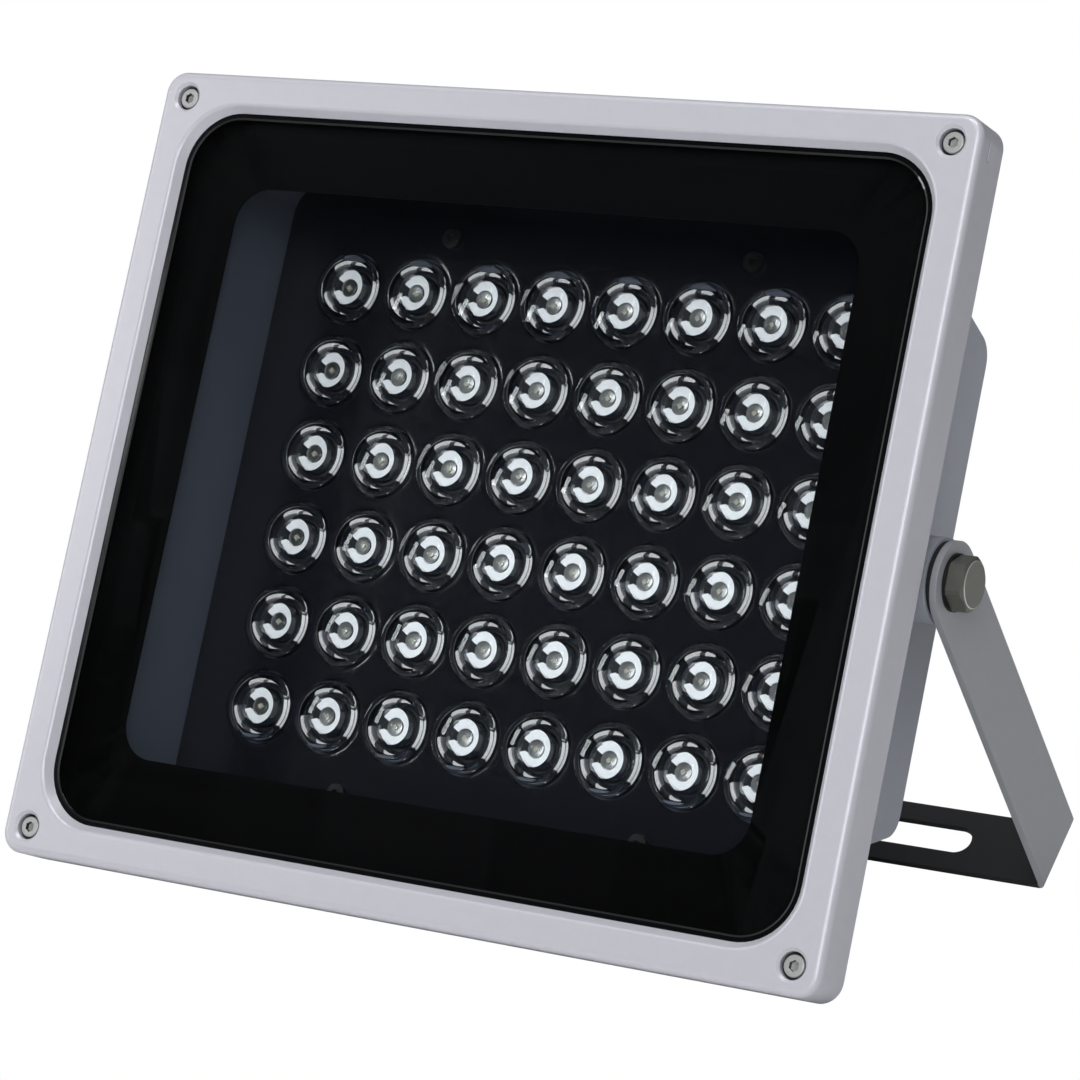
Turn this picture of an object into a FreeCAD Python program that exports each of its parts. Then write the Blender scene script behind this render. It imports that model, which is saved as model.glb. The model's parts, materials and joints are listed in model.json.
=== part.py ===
import FreeCAD, Part
import math
import os
import Sketcher

# LED flood light on a folded bracket, shown as it stands on a table: leaning back on its bezel
# and on the lower edge of the bracket. Millimetres.
# The head is drawn in its own frame: x to the right, y up the face, z out of the face, with the
# bezel's front plane at z = 0 and the pivot axis along x. "Depth" is the distance behind z = 0.

Vector = FreeCAD.Vector

DRIVING_SIZES = {
    # Front bezel
    "bezel_width": 250.0,
    "bezel_height": 220.0,
    "bezel_corner": 6.0,
    "bezel_depth": 13.3,
    "bezel_wall": 3.0,
    "bezel_face": 3.0,
    "bezel_edge_round": 2.0,
    "rim_side": 10.7,
    "rim_end": 10.6,
    "opening_corner": 16.0,
    "lip_slope_width": 2.0,
    "lip_slope_depth": 2.8,
    "lip_round": 1.3,
    "boss_diameter": 12.5,
    "mark_from_top": 5.7,
    "mark_depth": 5.2,
    "mark_length": 5.3,
    "mark_foot": 1.6,
    "mark_width": 0.5,
    "mark_cut": 0.4,
    # Bezel screws
    "screw_inset_side": 8.0,
    "screw_inset_end": 7.4,
    "screw_shank": 3.0,
    "thread_gap": 0.05,
    "screw_head": 5.6,
    "screw_head_height": 3.0,
    "screw_length": 8.5,
    "screw_recess": 1.2,
    "screw_socket": 2.5,
    "screw_socket_depth": 1.6,
    "screw_head_gap": 0.7,
    "shank_gap": 0.2,
    "counterbore_chamfer": 0.8,
    # Window and seals
    "glass_overlap": 1.6,
    "glass_thickness": 4.0,
    "border_inset": 0.6,
    "border_thickness": 0.3,
    "window_width": 191.8,
    "window_height": 158.8,
    "window_corner": 10.0,
    "gasket_width": 6.5,
    "gasket_thickness": 2.0,
    # Rear housing
    "flange_gap": 0.4,
    "housing_inset_side": 19.5,
    "housing_inset_end": 14.7,
    "housing_corner": 14.0,
    "housing_wall": 3.2,
    "ledge_wall": 3.0,
    "plate_set_back": 2.5,
    "plate_thickness": 2.0,
    "well_gap_side": 3.0,
    "well_gap_end": 3.6,
    "well_wall": 2.6,
    "well_corner": 6.0,
    "rear_wall": 3.0,
    "chamber_edge_round": 4.0,
    "rear_slope": 0.33,
    "rear_edge_round": 7.0,
    "fin_gaps": 19,
    "fin_thickness": 2.5,
    "cheek_wall": 4.0,
    "bay_gap": 4.0,
    "bay_wall": 3.0,
    "bay_corner": 4.0,
    # LED module
    "led_columns": 8,
    "led_rows": 6,
    "led_pitch_wide": 22.3,
    "led_pitch_high": 23.8,
    "module_shift_up": 2.2,
    "lens_diameter": 19.8,
    "lens_base_diameter": 9.6,
    "lens_front_depth": 39.0,
    "lens_hole_diameter": 20.6,
    "emitter_side": 7.0,
    "emitter_height": 1.5,
    "emitter_clearance": 0.1,
    "lens_height": 8.4,
    "board_thickness": 1.6,
    "board_edge_side": 16.95,
    "board_edge_end": 4.0,
    "pad_thickness": 0.5,
    "pad_inset": 1.0,
    "plate_fit": 0.3,
    "plate_screw_across": 47.2,
    "plate_screw_up": 77.7,
    "small_screw_shank": 3.0,
    "small_screw_head": 5.5,
    "small_screw_head_height": 1.6,
    "small_screw_length": 2.2,
    "wire_hole": 4.0,
    "wire_spread": 5.0,
    "wire_bend": 2.5,
    # Driver
    "driver_length": 112.0,
    "driver_width": 36.0,
    "driver_height": 10.5,
    "driver_gap": 2.3,
    "driver_corner": 3.0,
    "driver_end_gap": 2.0,
    "driver_ear": 7.0,
    "driver_ear_thickness": 2.0,
    "terminal_length": 12.0,
    "terminal_width": 24.0,
    "terminal_height": 9.0,
    "terminal_gap": 12.0,
    "terminal_ways": 3,
    "wire_diameter": 2.0,
    # Cable gland
    "gland_across": 76.0,
    "gland_thread": 12.0,
    "gland_bore": 6.5,
    "gland_hex": 17.0,
    "gland_hex_height": 4.5,
    "gland_cap_diameter": 16.0,
    "gland_cap_height": 11.0,
    "gland_cap_round": 2.0,
    "gland_nut_height": 3.0,
    "gland_seal_thickness": 1.0,
    # Pivot
    "pivot_depth": 33.0,
    "pivot_below_middle": 1.0,
    "pivot_boss_diameter": 22.0,
    "pivot_thread": 8.0,
    "pivot_bore_depth": 15.0,
    "pivot_play": 0.05,
    "friction_washer": 1.2,
    "friction_washer_diameter": 20.0,
    "bolt_across_flats": 13.0,
    "bolt_head_height": 4.8,
    "bolt_face_diameter": 10.6,
    "bolt_face_slope": 0.62,
    "bolt_turn": 8.0,
    "bolt_length": 18.0,
    "lock_washer_diameter": 14.8,
    "lock_washer_thickness": 0.8,
    "lock_washer_gap": 1.2,
    # Bracket
    "bracket_inset": 0.5,
    "bracket_sheet": 1.8,
    "bracket_width": 22.6,
    "bracket_reach": 110.0,
    "bracket_bend": 0.6,
    "arm_end_drop": 1.3,
    "base_cut": 2.6,
    "base_cut_corner": 2.0,
    "bracket_hole": 8.5,
    "bracket_angle": 60.0,
    "slot_length": 45.0,
    "slot_width": 8.5,
    "slot_centre": 76.5,
}


class Size:
    """A length worked out from the sheet, as expression text and as its present value."""

    def __init__(self, text, value):
        self.text = text
        self.value = value

    def __add__(self, other):
        return combine(self, "+", other)

    def __radd__(self, other):
        return combine(other, "+", self)

    def __sub__(self, other):
        return combine(self, "-", other)

    def __rsub__(self, other):
        return combine(other, "-", self)

    def __mul__(self, other):
        return combine(self, "*", other)

    def __rmul__(self, other):
        return combine(other, "*", self)

    def __truediv__(self, other):
        return combine(self, "/", other)

    def __neg__(self):
        return combine(0, "-", self)


def as_size(number):
    if isinstance(number, Size):
        return number
    return Size(str(number), float(number))


def combine(first, sign, second):
    first = as_size(first)
    second = as_size(second)
    results = {
        "+": first.value + second.value,
        "-": first.value - second.value,
        "*": first.value * second.value,
        "/": first.value / second.value if second.value else 0.0,
    }
    return Size("({} {} {})".format(first.text, sign, second.text), results[sign])


def make_sheet(doc):
    sheet = doc.addObject("Spreadsheet::Sheet", "Sizes")
    for row, (alias, number) in enumerate(DRIVING_SIZES.items(), start=1):
        sheet.set("A{}".format(row), alias.replace("_", " "))
        sheet.set("B{}".format(row), str(number))
        sheet.setAlias("B{}".format(row), alias)
    doc.recompute()
    return sheet


doc = FreeCAD.newDocument("flood_light")
sheet = make_sheet(doc)


def size(alias):
    return Size("Sizes." + alias, float(sheet.get(alias)))


def bind(feature, path, length):
    feature.setExpression(path, as_size(length).text)


# Sketching helpers

Y_AXIS, X_AXIS = range(-2, 0)
START, END, CENTRE = range(1, 4)
ORIGIN = (X_AXIS, START)


def new_body(label):
    body = doc.addObject("PartDesign::Body", label)
    body.Label = label
    return body


def new_sketch(body, name, plane, offset=0):
    sketch = body.newObject("Sketcher::SketchObject", name)
    support = next(item for item in body.Origin.OriginFeatures if item.Role == plane)
    sketch.AttachmentSupport = [(support, "")]
    sketch.MapMode = "FlatFace"
    bind(sketch, "AttachmentOffset.Base.z", offset)
    return sketch


def constrain(sketch, kind, *arguments):
    """Add a constraint; a Size as its last argument also binds it to the sheet."""
    if isinstance(arguments[-1], Size):
        length = arguments[-1]
        index = sketch.addConstraint(Sketcher.Constraint(kind, *arguments[:-1], length.value))
        sketch.setExpression("Constraints[{}]".format(index), length.text)
        return
    sketch.addConstraint(Sketcher.Constraint(kind, *arguments))


def place_point(sketch, geometry, point, across, up):
    for kind, axis, length in (("DistanceX", Y_AXIS, as_size(across)), ("DistanceY", X_AXIS, as_size(up))):
        if abs(length.value) < 1e-9:
            constrain(sketch, "PointOnObject", geometry, point, axis)
        elif length.value > 0:
            constrain(sketch, kind, *ORIGIN, geometry, point, length)
        else:
            constrain(sketch, kind, geometry, point, *ORIGIN, -length)


def rounded_rectangle(sketch, width, height, radius, across=0, up=0):
    """Four lines and four tangent arcs round the point (across, up)."""
    across = as_size(across)
    up = as_size(up)
    half_width = width.value / 2
    half_height = height.value / 2
    corner = radius.value
    flat_x = half_width - corner
    flat_y = half_height - corner
    centre = Vector(across.value, up.value, 0)
    ends = [
        (Vector(-flat_x, -half_height, 0), Vector(flat_x, -half_height, 0)),
        (Vector(half_width, -flat_y, 0), Vector(half_width, flat_y, 0)),
        (Vector(flat_x, half_height, 0), Vector(-flat_x, half_height, 0)),
        (Vector(-half_width, flat_y, 0), Vector(-half_width, -flat_y, 0)),
    ]
    hubs = [Vector(flat_x, -flat_y, 0), Vector(flat_x, flat_y, 0)]
    hubs += [Vector(-flat_x, flat_y, 0), Vector(-flat_x, -flat_y, 0)]
    lines = [sketch.addGeometry(Part.LineSegment(centre + a, centre + b), False) for a, b in ends]
    arcs = []
    for turn, hub in enumerate(hubs):
        circle = Part.Circle(centre + hub, Vector(0, 0, 1), corner)
        first_angle = (turn - 1) * math.pi / 2
        arc = Part.ArcOfCircle(circle, first_angle, first_angle + math.pi / 2)
        arcs.append(sketch.addGeometry(arc, False))
    for turn in range(4):
        constrain(sketch, "Tangent", lines[turn], END, arcs[turn], START)
        constrain(sketch, "Tangent", arcs[turn], END, lines[(turn + 1) % 4], START)
    for turn in (0, 2):
        constrain(sketch, "Horizontal", lines[turn])
        constrain(sketch, "Vertical", lines[turn + 1])
    for turn in (1, 2, 3):
        constrain(sketch, "Equal", arcs[0], arcs[turn])
    constrain(sketch, "Radius", arcs[0], radius)
    constrain(sketch, "DistanceX", lines[3], START, lines[1], START, width)
    constrain(sketch, "DistanceY", lines[0], START, lines[2], START, height)
    place_point(sketch, arcs[1], CENTRE, across + width / 2 - radius, up + height / 2 - radius)


def circle(sketch, diameter, across=0, up=0):
    across = as_size(across)
    up = as_size(up)
    shape = Part.Circle(Vector(across.value, up.value, 0), Vector(0, 0, 1), diameter.value / 2)
    index = sketch.addGeometry(shape, False)
    place_point(sketch, index, CENTRE, across, up)
    constrain(sketch, "Diameter", index, diameter)


def outline(sketch, corners):
    """A closed outline of straight sides through corners given as (across, up)."""
    corners = [(as_size(across), as_size(up)) for across, up in corners]
    points = [Vector(across.value, up.value, 0) for across, up in corners]
    count = len(points)
    lines = []
    for index in range(count):
        segment = Part.LineSegment(points[index], points[(index + 1) % count])
        lines.append(sketch.addGeometry(segment, False))
    for index in range(count):
        constrain(sketch, "Coincident", lines[index], END, lines[(index + 1) % count], START)
    for line, (across, up) in zip(lines, corners):
        place_point(sketch, line, START, across, up)


def rectangle(sketch, left, bottom, width, height):
    outline(sketch, [
        (left, bottom),
        (left + width, bottom),
        (left + width, bottom + height),
        (left, bottom + height),
    ])


def hexagon(sketch, across_flats):
    corner = across_flats / math.sqrt(3)
    half_side = corner / 2
    half_flats = across_flats / 2
    outline(sketch, [
        (corner, as_size(0)),
        (half_side, half_flats),
        (-half_side, half_flats),
        (-corner, as_size(0)),
        (-half_side, -half_flats),
        (half_side, -half_flats),
    ])


def four_corners(span_wide, span_high):
    return [(span_wide / (2 * side), span_high / (2 * end)) for side in (-1, 1) for end in (-1, 1)]


# Feature helpers

def extrude(body, kind, sketch, length, reverse=False, symmetric=False):
    feature = body.newObject("PartDesign::" + kind, sketch.Name + kind)
    feature.Profile = sketch
    bind(feature, "Length", length)
    feature.Reversed = reverse
    if symmetric:
        feature.SideType = "Symmetric"
    body.Tip = feature
    sketch.Visibility = False
    doc.recompute()
    return feature


def pad(body, sketch, length, **options):
    return extrude(body, "Pad", sketch, length, **options)


def pocket(body, sketch, length, **options):
    before = body.Shape.Volume
    feature = extrude(body, "Pocket", sketch, length, **options)
    if body.Shape.Volume >= before:
        raise RuntimeError(feature.Name + " cuts nothing")
    return feature


def revolve(body, sketch):
    feature = body.newObject("PartDesign::Revolution", sketch.Name + "Turned")
    feature.Profile = sketch
    feature.ReferenceAxis = (sketch, ["V_Axis"])
    feature.Angle = 360
    body.Tip = feature
    doc.recompute()
    return feature


def dress(body, kind, edge_names, *lengths):
    """A fillet with one length, or a chamfer with one or two."""
    base = body.Tip
    feature = body.newObject("PartDesign::" + kind, body.Name + kind)
    feature.Base = (base, edge_names)
    if kind == "Fillet":
        bind(feature, "Radius", lengths[0])
    else:
        bind(feature, "Size", lengths[0])
        if len(lengths) == 2:
            feature.ChamferType = "Two distances"
            bind(feature, "Size2", lengths[1])
    body.Tip = feature
    doc.recompute()
    return feature


def mirror_across_middle(body, feature):
    mirrored = body.newObject("PartDesign::Mirrored", feature.Name + "Mirrored")
    mirrored.Originals = [feature]
    plane = next(item for item in body.Origin.OriginFeatures if item.Role == "YZ_Plane")
    mirrored.MirrorPlane = (plane, [""])
    body.Tip = mirrored
    doc.recompute()
    return mirrored


def repeat_across(body, feature, sketch, length, count):
    pattern = body.newObject("PartDesign::LinearPattern", feature.Name + "Row")
    pattern.Originals = [feature]
    pattern.Direction = (sketch, ["H_Axis"])
    bind(pattern, "Length", length)
    bind(pattern, "Occurrences", count)
    body.Tip = pattern
    doc.recompute()
    return pattern


def edges_where(body, test):
    shape = body.Tip.Shape
    return ["Edge{}".format(i + 1) for i, edge in enumerate(shape.Edges) if test(edge)]


def lies_at(edge, axis, position):
    """True where the whole edge lies in the plane at this position along the axis."""
    low = getattr(edge.BoundBox, axis + "Min")
    high = getattr(edge.BoundBox, axis + "Max")
    return abs(low - position) < 1e-4 and abs(high - position) < 1e-4


def beyond(edge, half_width, half_height):
    """True where the edge lies outside this half width or half height of the face."""
    middle = edge.CenterOfMass
    return abs(middle.x) > half_width or abs(middle.y) > half_height


# Sizes that several pieces share

LENS_DEPTH = size("lens_front_depth")
FACE = size("bezel_face")
BEZEL_WIDTH = size("bezel_width")
BEZEL_HEIGHT = size("bezel_height")
OPENING_WIDTH = BEZEL_WIDTH - 2 * size("rim_side")
OPENING_HEIGHT = BEZEL_HEIGHT - 2 * size("rim_end")
GLASS_WIDTH = OPENING_WIDTH + 2 * size("glass_overlap")
GLASS_HEIGHT = OPENING_HEIGHT + 2 * size("glass_overlap")
GLASS_CORNER = size("opening_corner") + size("glass_overlap")
SCREW_SPAN_WIDE = BEZEL_WIDTH - 2 * size("screw_inset_side")
SCREW_SPAN_HIGH = BEZEL_HEIGHT - 2 * size("screw_inset_end")
HOUSING_WIDTH = BEZEL_WIDTH - 2 * size("housing_inset_side")
HOUSING_HEIGHT = BEZEL_HEIGHT - 2 * size("housing_inset_end")
BOARD_WIDTH = (size("led_columns") - 1) * size("led_pitch_wide") + 2 * size("board_edge_side")
BOARD_HEIGHT = (size("led_rows") - 1) * size("led_pitch_high") + 2 * size("board_edge_end")
WELL_WIDTH = BOARD_WIDTH + 2 * size("well_gap_side")
WELL_HEIGHT = BOARD_HEIGHT + 2 * size("well_gap_end")
BAY_WIDTH = BOARD_WIDTH
BAY_HEIGHT = size("driver_width") + 2 * size("bay_gap")
GLASS_BACK = FACE + size("glass_thickness")
BORDER_BACK = GLASS_BACK + size("border_thickness")
FLANGE_FRONT = BORDER_BACK + size("gasket_thickness")
BEZEL_DEPTH = size("bezel_depth")
SKIRT_WIDTH = BEZEL_WIDTH - 2 * size("bezel_wall")
SKIRT_HEIGHT = BEZEL_HEIGHT - 2 * size("bezel_wall")
SKIRT_CORNER = size("bezel_corner") - size("bezel_wall")
CAVITY_WIDTH = HOUSING_WIDTH - 2 * size("housing_wall")
CAVITY_HEIGHT = HOUSING_HEIGHT - 2 * size("housing_wall")
CAVITY_CORNER = size("housing_corner") - size("housing_wall")
PLATE_DEPTH = LENS_DEPTH + size("plate_set_back")
LEDGE_DEPTH = PLATE_DEPTH + size("plate_thickness")
CHAMBER_DEPTH = LEDGE_DEPTH + size("ledge_wall")
LENS_FOOT_DEPTH = LENS_DEPTH + size("lens_height")
BOARD_DEPTH = LENS_FOOT_DEPTH + size("emitter_clearance") + size("emitter_height")
PAD_DEPTH = BOARD_DEPTH + size("board_thickness")
FLOOR_DEPTH = PAD_DEPTH + size("pad_thickness")
FIN_ROOT_DEPTH = FLOOR_DEPTH + size("rear_wall")
BAY_FLOOR_DEPTH = FLOOR_DEPTH + size("driver_gap") + size("driver_height")
REAR_DEPTH = BAY_FLOOR_DEPTH + size("bay_wall")
SHEET = size("bracket_sheet")
ARM_OUTSIDE = BEZEL_WIDTH / 2 - size("bracket_inset")
ARM_INSIDE = ARM_OUTSIDE - SHEET
PLAY = size("pivot_play")
BOSS_FACE = ARM_INSIDE - PLAY - size("friction_washer")
THREAD_GAP = 2 * size("thread_gap")
PIVOT_DEPTH = size("pivot_depth")
PIVOT_UP = -size("pivot_below_middle")
SCREW_SEAT_DEPTH = size("screw_recess") + size("screw_head_height")
SHIFT_UP = size("module_shift_up")
COUNTERBORE = size("screw_head") + 2 * size("screw_head_gap")
REAR_HALF_HEIGHT = WELL_HEIGHT / 2 + size("well_wall") - (REAR_DEPTH - FLOOR_DEPTH) * size("rear_slope")
DRIVER_SHIFT = size("driver_end_gap") + size("driver_ear") + size("driver_length") / 2 - BAY_WIDTH / 2


def led_places():
    """Centres of the emitters across and up the face."""
    columns = int(size("led_columns").value)
    rows = int(size("led_rows").value)
    places = []
    for row in range(rows):
        for column in range(columns):
            across = (column - (columns - 1) / 2) * size("led_pitch_wide").value
            up = (row - (rows - 1) / 2) * size("led_pitch_high").value + size("module_shift_up").value
            places.append((across, up))
    return places


# Front bezel and what it clamps

def make_front_bezel():
    body = new_body("front_bezel")
    rim = new_sketch(body, "BezelRim", "XY_Plane", -BEZEL_DEPTH)
    rounded_rectangle(rim, BEZEL_WIDTH, BEZEL_HEIGHT, size("bezel_corner"))
    pad(body, rim, BEZEL_DEPTH)
    inside = new_sketch(body, "BezelInside", "XY_Plane", -BEZEL_DEPTH)
    rounded_rectangle(inside, SKIRT_WIDTH, SKIRT_HEIGHT, SKIRT_CORNER)
    pocket(body, inside, BEZEL_DEPTH - FACE, reverse=True)
    dress(body, "Fillet", front_edges(body)[:1], size("bezel_edge_round"))
    bosses = new_sketch(body, "BezelBosses", "XY_Plane", -FLANGE_FRONT)
    for across, up in four_corners(SCREW_SPAN_WIDE, SCREW_SPAN_HIGH):
        circle(bosses, size("boss_diameter"), across, up)
    pad(body, bosses, FLANGE_FRONT - FACE)
    opening = new_sketch(body, "BezelOpening", "XY_Plane")
    rounded_rectangle(opening, OPENING_WIDTH, OPENING_HEIGHT, size("opening_corner"))
    pocket(body, opening, FACE)
    dress(body, "Chamfer", opening_edges(body, 0)[:1], size("lip_slope_width"), size("lip_slope_depth"))
    dress(body, "Fillet", opening_edges(body, size("lip_slope_width").value)[:1], size("lip_round"))
    heads = new_sketch(body, "BezelCounterbores", "XY_Plane")
    shanks = new_sketch(body, "BezelShankHoles", "XY_Plane")
    for across, up in four_corners(SCREW_SPAN_WIDE, SCREW_SPAN_HIGH):
        circle(heads, COUNTERBORE, across, up)
        circle(shanks, size("screw_shank") + 2 * size("shank_gap"), across, up)
    pocket(body, heads, SCREW_SEAT_DEPTH)
    pocket(body, shanks, FLANGE_FRONT)
    mouths = edges_where(body, lambda edge: (
        lies_at(edge, "Z", 0.0) and edge.Curve.TypeId == "Part::GeomCircle"
        and abs(edge.Curve.Radius - COUNTERBORE.value / 2) < 1e-4))
    dress(body, "Chamfer", mouths, size("counterbore_chamfer"))
    cut_side_mark(body)
    return body


def front_edges(body):
    """Names of the edges in the front plane."""
    return edges_where(body, lambda edge: lies_at(edge, "Z", 0.0))


def opening_edges(body, widened):
    """Names of the front edges round the opening, which is wider than drawn by this much a side."""
    half_width = OPENING_WIDTH.value / 2 + widened
    half_height = OPENING_HEIGHT.value / 2 + widened
    return [name for name in front_edges(body)
            if not beyond(body.Tip.Shape.getElement(name), half_width, half_height)]


def cut_side_mark(body):
    """A shallow hooked groove near the top of the bezel's right side."""
    top = BEZEL_HEIGHT / 2 - size("mark_from_top")
    bottom = top - size("mark_length")
    near = -size("mark_depth")
    wide = size("mark_width")
    sketch = new_sketch(body, "BezelSideMark", "YZ_Plane", BEZEL_WIDTH / 2)
    outline(sketch, [
        (top, near),
        (top, near - wide),
        (bottom + wide, near - wide),
        (bottom + wide, near - size("mark_foot")),
        (bottom, near - size("mark_foot")),
        (bottom, near),
    ])
    pocket(body, sketch, size("mark_cut"))


def make_sheet_piece(label, width, height, corner, front, thickness, up=0):
    body = new_body(label)
    face = new_sketch(body, label + "Face", "XY_Plane", -(front + thickness))
    rounded_rectangle(face, width, height, corner, 0, up)
    pad(body, face, thickness)
    return body


def make_ring(label, outer, inner, front, thickness):
    """A flat ring; outer and inner are each (width, height, corner)."""
    body = new_body(label)
    face = new_sketch(body, label + "Face", "XY_Plane", -(front + thickness))
    rounded_rectangle(face, *outer)
    rounded_rectangle(face, *inner)
    pad(body, face, thickness)
    return body


def make_window_glass():
    return make_sheet_piece("window_glass", GLASS_WIDTH, GLASS_HEIGHT,
                            GLASS_CORNER, FACE, size("glass_thickness"))


def make_glass_border():
    inset = size("border_inset")
    outer = (GLASS_WIDTH - 2 * inset, GLASS_HEIGHT - 2 * inset, GLASS_CORNER - inset)
    inner = (size("window_width"), size("window_height"), size("window_corner"))
    return make_ring("glass_border", outer, inner, GLASS_BACK, size("border_thickness"))


def make_window_gasket():
    inset = size("border_inset")
    outer = (GLASS_WIDTH - 2 * inset, GLASS_HEIGHT - 2 * inset, GLASS_CORNER - inset)
    wide = size("gasket_width")
    inner = (outer[0] - 2 * wide, outer[1] - 2 * wide, outer[2] - wide)
    return make_ring("window_gasket", outer, inner, BORDER_BACK, size("gasket_thickness"))


# Rear housing

def rear_profile(body):
    """Side profile of the finned rear block, sloping in towards the back."""
    sketch = new_sketch(body, "HousingProfile", "YZ_Plane")
    start = CHAMBER_DEPTH - size("chamber_edge_round")
    shoulder = REAR_HALF_HEIGHT + (REAR_DEPTH - start) * size("rear_slope")
    outline(sketch, [
        (SHIFT_UP - shoulder, -start),
        (SHIFT_UP - REAR_HALF_HEIGHT, -REAR_DEPTH),
        (SHIFT_UP + REAR_HALF_HEIGHT, -REAR_DEPTH),
        (SHIFT_UP + shoulder, -start),
    ])
    return sketch


def cut_fins(body):
    """Open the gaps between the fins above and below the driver bay."""
    gaps = size("fin_gaps")
    clear = HOUSING_WIDTH - 2 * size("cheek_wall")
    gap = (clear - (gaps - 1) * size("fin_thickness")) / gaps
    bay_edge = BAY_HEIGHT / 2 + size("bay_wall")
    sketch = new_sketch(body, "HousingFinGaps", "XY_Plane", -REAR_DEPTH)
    reach = HOUSING_HEIGHT / 2 - bay_edge
    rectangle(sketch, -clear / 2, SHIFT_UP + bay_edge, gap, reach)
    rectangle(sketch, -clear / 2, SHIFT_UP - bay_edge - reach, gap, reach)
    first = pocket(body, sketch, REAR_DEPTH - FIN_ROOT_DEPTH, reverse=True)
    repeat_across(body, first, sketch, clear - gap, gaps)


def make_rear_housing():
    body = new_body("rear_housing")
    flange = new_sketch(body, "HousingFlange", "XY_Plane", -BEZEL_DEPTH)
    gap = size("flange_gap")
    rounded_rectangle(flange, SKIRT_WIDTH - 2 * gap, SKIRT_HEIGHT - 2 * gap, SKIRT_CORNER - gap)
    pad(body, flange, BEZEL_DEPTH - FLANGE_FRONT)
    chamber = new_sketch(body, "HousingChamber", "XY_Plane", -CHAMBER_DEPTH)
    rounded_rectangle(chamber, HOUSING_WIDTH, HOUSING_HEIGHT, size("housing_corner"))
    pad(body, chamber, CHAMBER_DEPTH - BEZEL_DEPTH)
    chamber_rear = edges_where(body, lambda edge: lies_at(edge, "Z", -CHAMBER_DEPTH.value))
    dress(body, "Fillet", chamber_rear, size("chamber_edge_round"))
    pad(body, rear_profile(body), HOUSING_WIDTH, symmetric=True)
    rear = -REAR_DEPTH.value
    corners = edges_where(body, lambda edge: lies_at(edge, "Z", rear) and (
        abs(abs(edge.CenterOfMass.y - SHIFT_UP.value) - REAR_HALF_HEIGHT.value) < 1e-3))
    dress(body, "Fillet", corners, size("rear_edge_round"))
    cut_fins(body)
    bosses = new_sketch(body, "HousingPivotBosses", "YZ_Plane")
    circle(bosses, size("pivot_boss_diameter"), PIVOT_UP, -PIVOT_DEPTH)
    pad(body, bosses, 2 * BOSS_FACE, symmetric=True)
    cavity = new_sketch(body, "HousingCavity", "XY_Plane", -FLANGE_FRONT)
    rounded_rectangle(cavity, CAVITY_WIDTH, CAVITY_HEIGHT, CAVITY_CORNER)
    pocket(body, cavity, LEDGE_DEPTH - FLANGE_FRONT)
    well = new_sketch(body, "HousingWell", "XY_Plane", -LEDGE_DEPTH)
    rounded_rectangle(well, WELL_WIDTH, WELL_HEIGHT, size("well_corner"), 0, SHIFT_UP)
    pocket(body, well, FLOOR_DEPTH - LEDGE_DEPTH)
    bay = new_sketch(body, "HousingBay", "XY_Plane", -FLOOR_DEPTH)
    rounded_rectangle(bay, BAY_WIDTH, BAY_HEIGHT, size("bay_corner"), 0, SHIFT_UP)
    pocket(body, bay, BAY_FLOOR_DEPTH - FLOOR_DEPTH)
    bore = new_sketch(body, "HousingPivotBore", "YZ_Plane", BOSS_FACE)
    circle(bore, size("pivot_thread") + THREAD_GAP, PIVOT_UP, -PIVOT_DEPTH)
    mirror_across_middle(body, pocket(body, bore, size("pivot_bore_depth")))
    holes = new_sketch(body, "HousingScrewHoles", "XY_Plane", -FLANGE_FRONT)
    for across, up in four_corners(SCREW_SPAN_WIDE, SCREW_SPAN_HIGH):
        circle(holes, size("screw_shank") + THREAD_GAP, across, up)
    pocket(body, holes, BEZEL_DEPTH - FLANGE_FRONT)
    plate_holes = new_sketch(body, "HousingPlateHoles", "XY_Plane", -LEDGE_DEPTH)
    for across, up in four_corners(2 * size("plate_screw_across"), 2 * size("plate_screw_up")):
        circle(plate_holes, size("small_screw_shank") + THREAD_GAP, across, up)
    pocket(body, plate_holes, size("small_screw_length"))
    board_holes = new_sketch(body, "HousingBoardHoles", "XY_Plane", -FLOOR_DEPTH)
    for across, up in board_screw_places():
        circle(board_holes, size("small_screw_shank") + THREAD_GAP, across, up)
    pocket(body, board_holes, size("small_screw_length"))
    driver_holes = new_sketch(body, "HousingDriverHoles", "XY_Plane", -BAY_FLOOR_DEPTH)
    for across in driver_screw_places():
        circle(driver_holes, size("small_screw_shank") + THREAD_GAP, across, SHIFT_UP)
    pocket(body, driver_holes, size("small_screw_length"))
    gland = new_sketch(body, "HousingGlandHole", "XY_Plane", -REAR_DEPTH)
    circle(gland, size("gland_thread") + THREAD_GAP, size("gland_across"), SHIFT_UP)
    pocket(body, gland, size("bay_wall"), reverse=True)
    return body


def board_screw_places():
    """Between the rows of emitters, clear of the driver bay."""
    across = 2 * size("led_pitch_wide")
    up = 2 * size("led_pitch_high")
    shift = size("module_shift_up")
    return [(across, up + shift), (-across, up + shift), (across, -up + shift), (-across, -up + shift)]


# LED module

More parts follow.
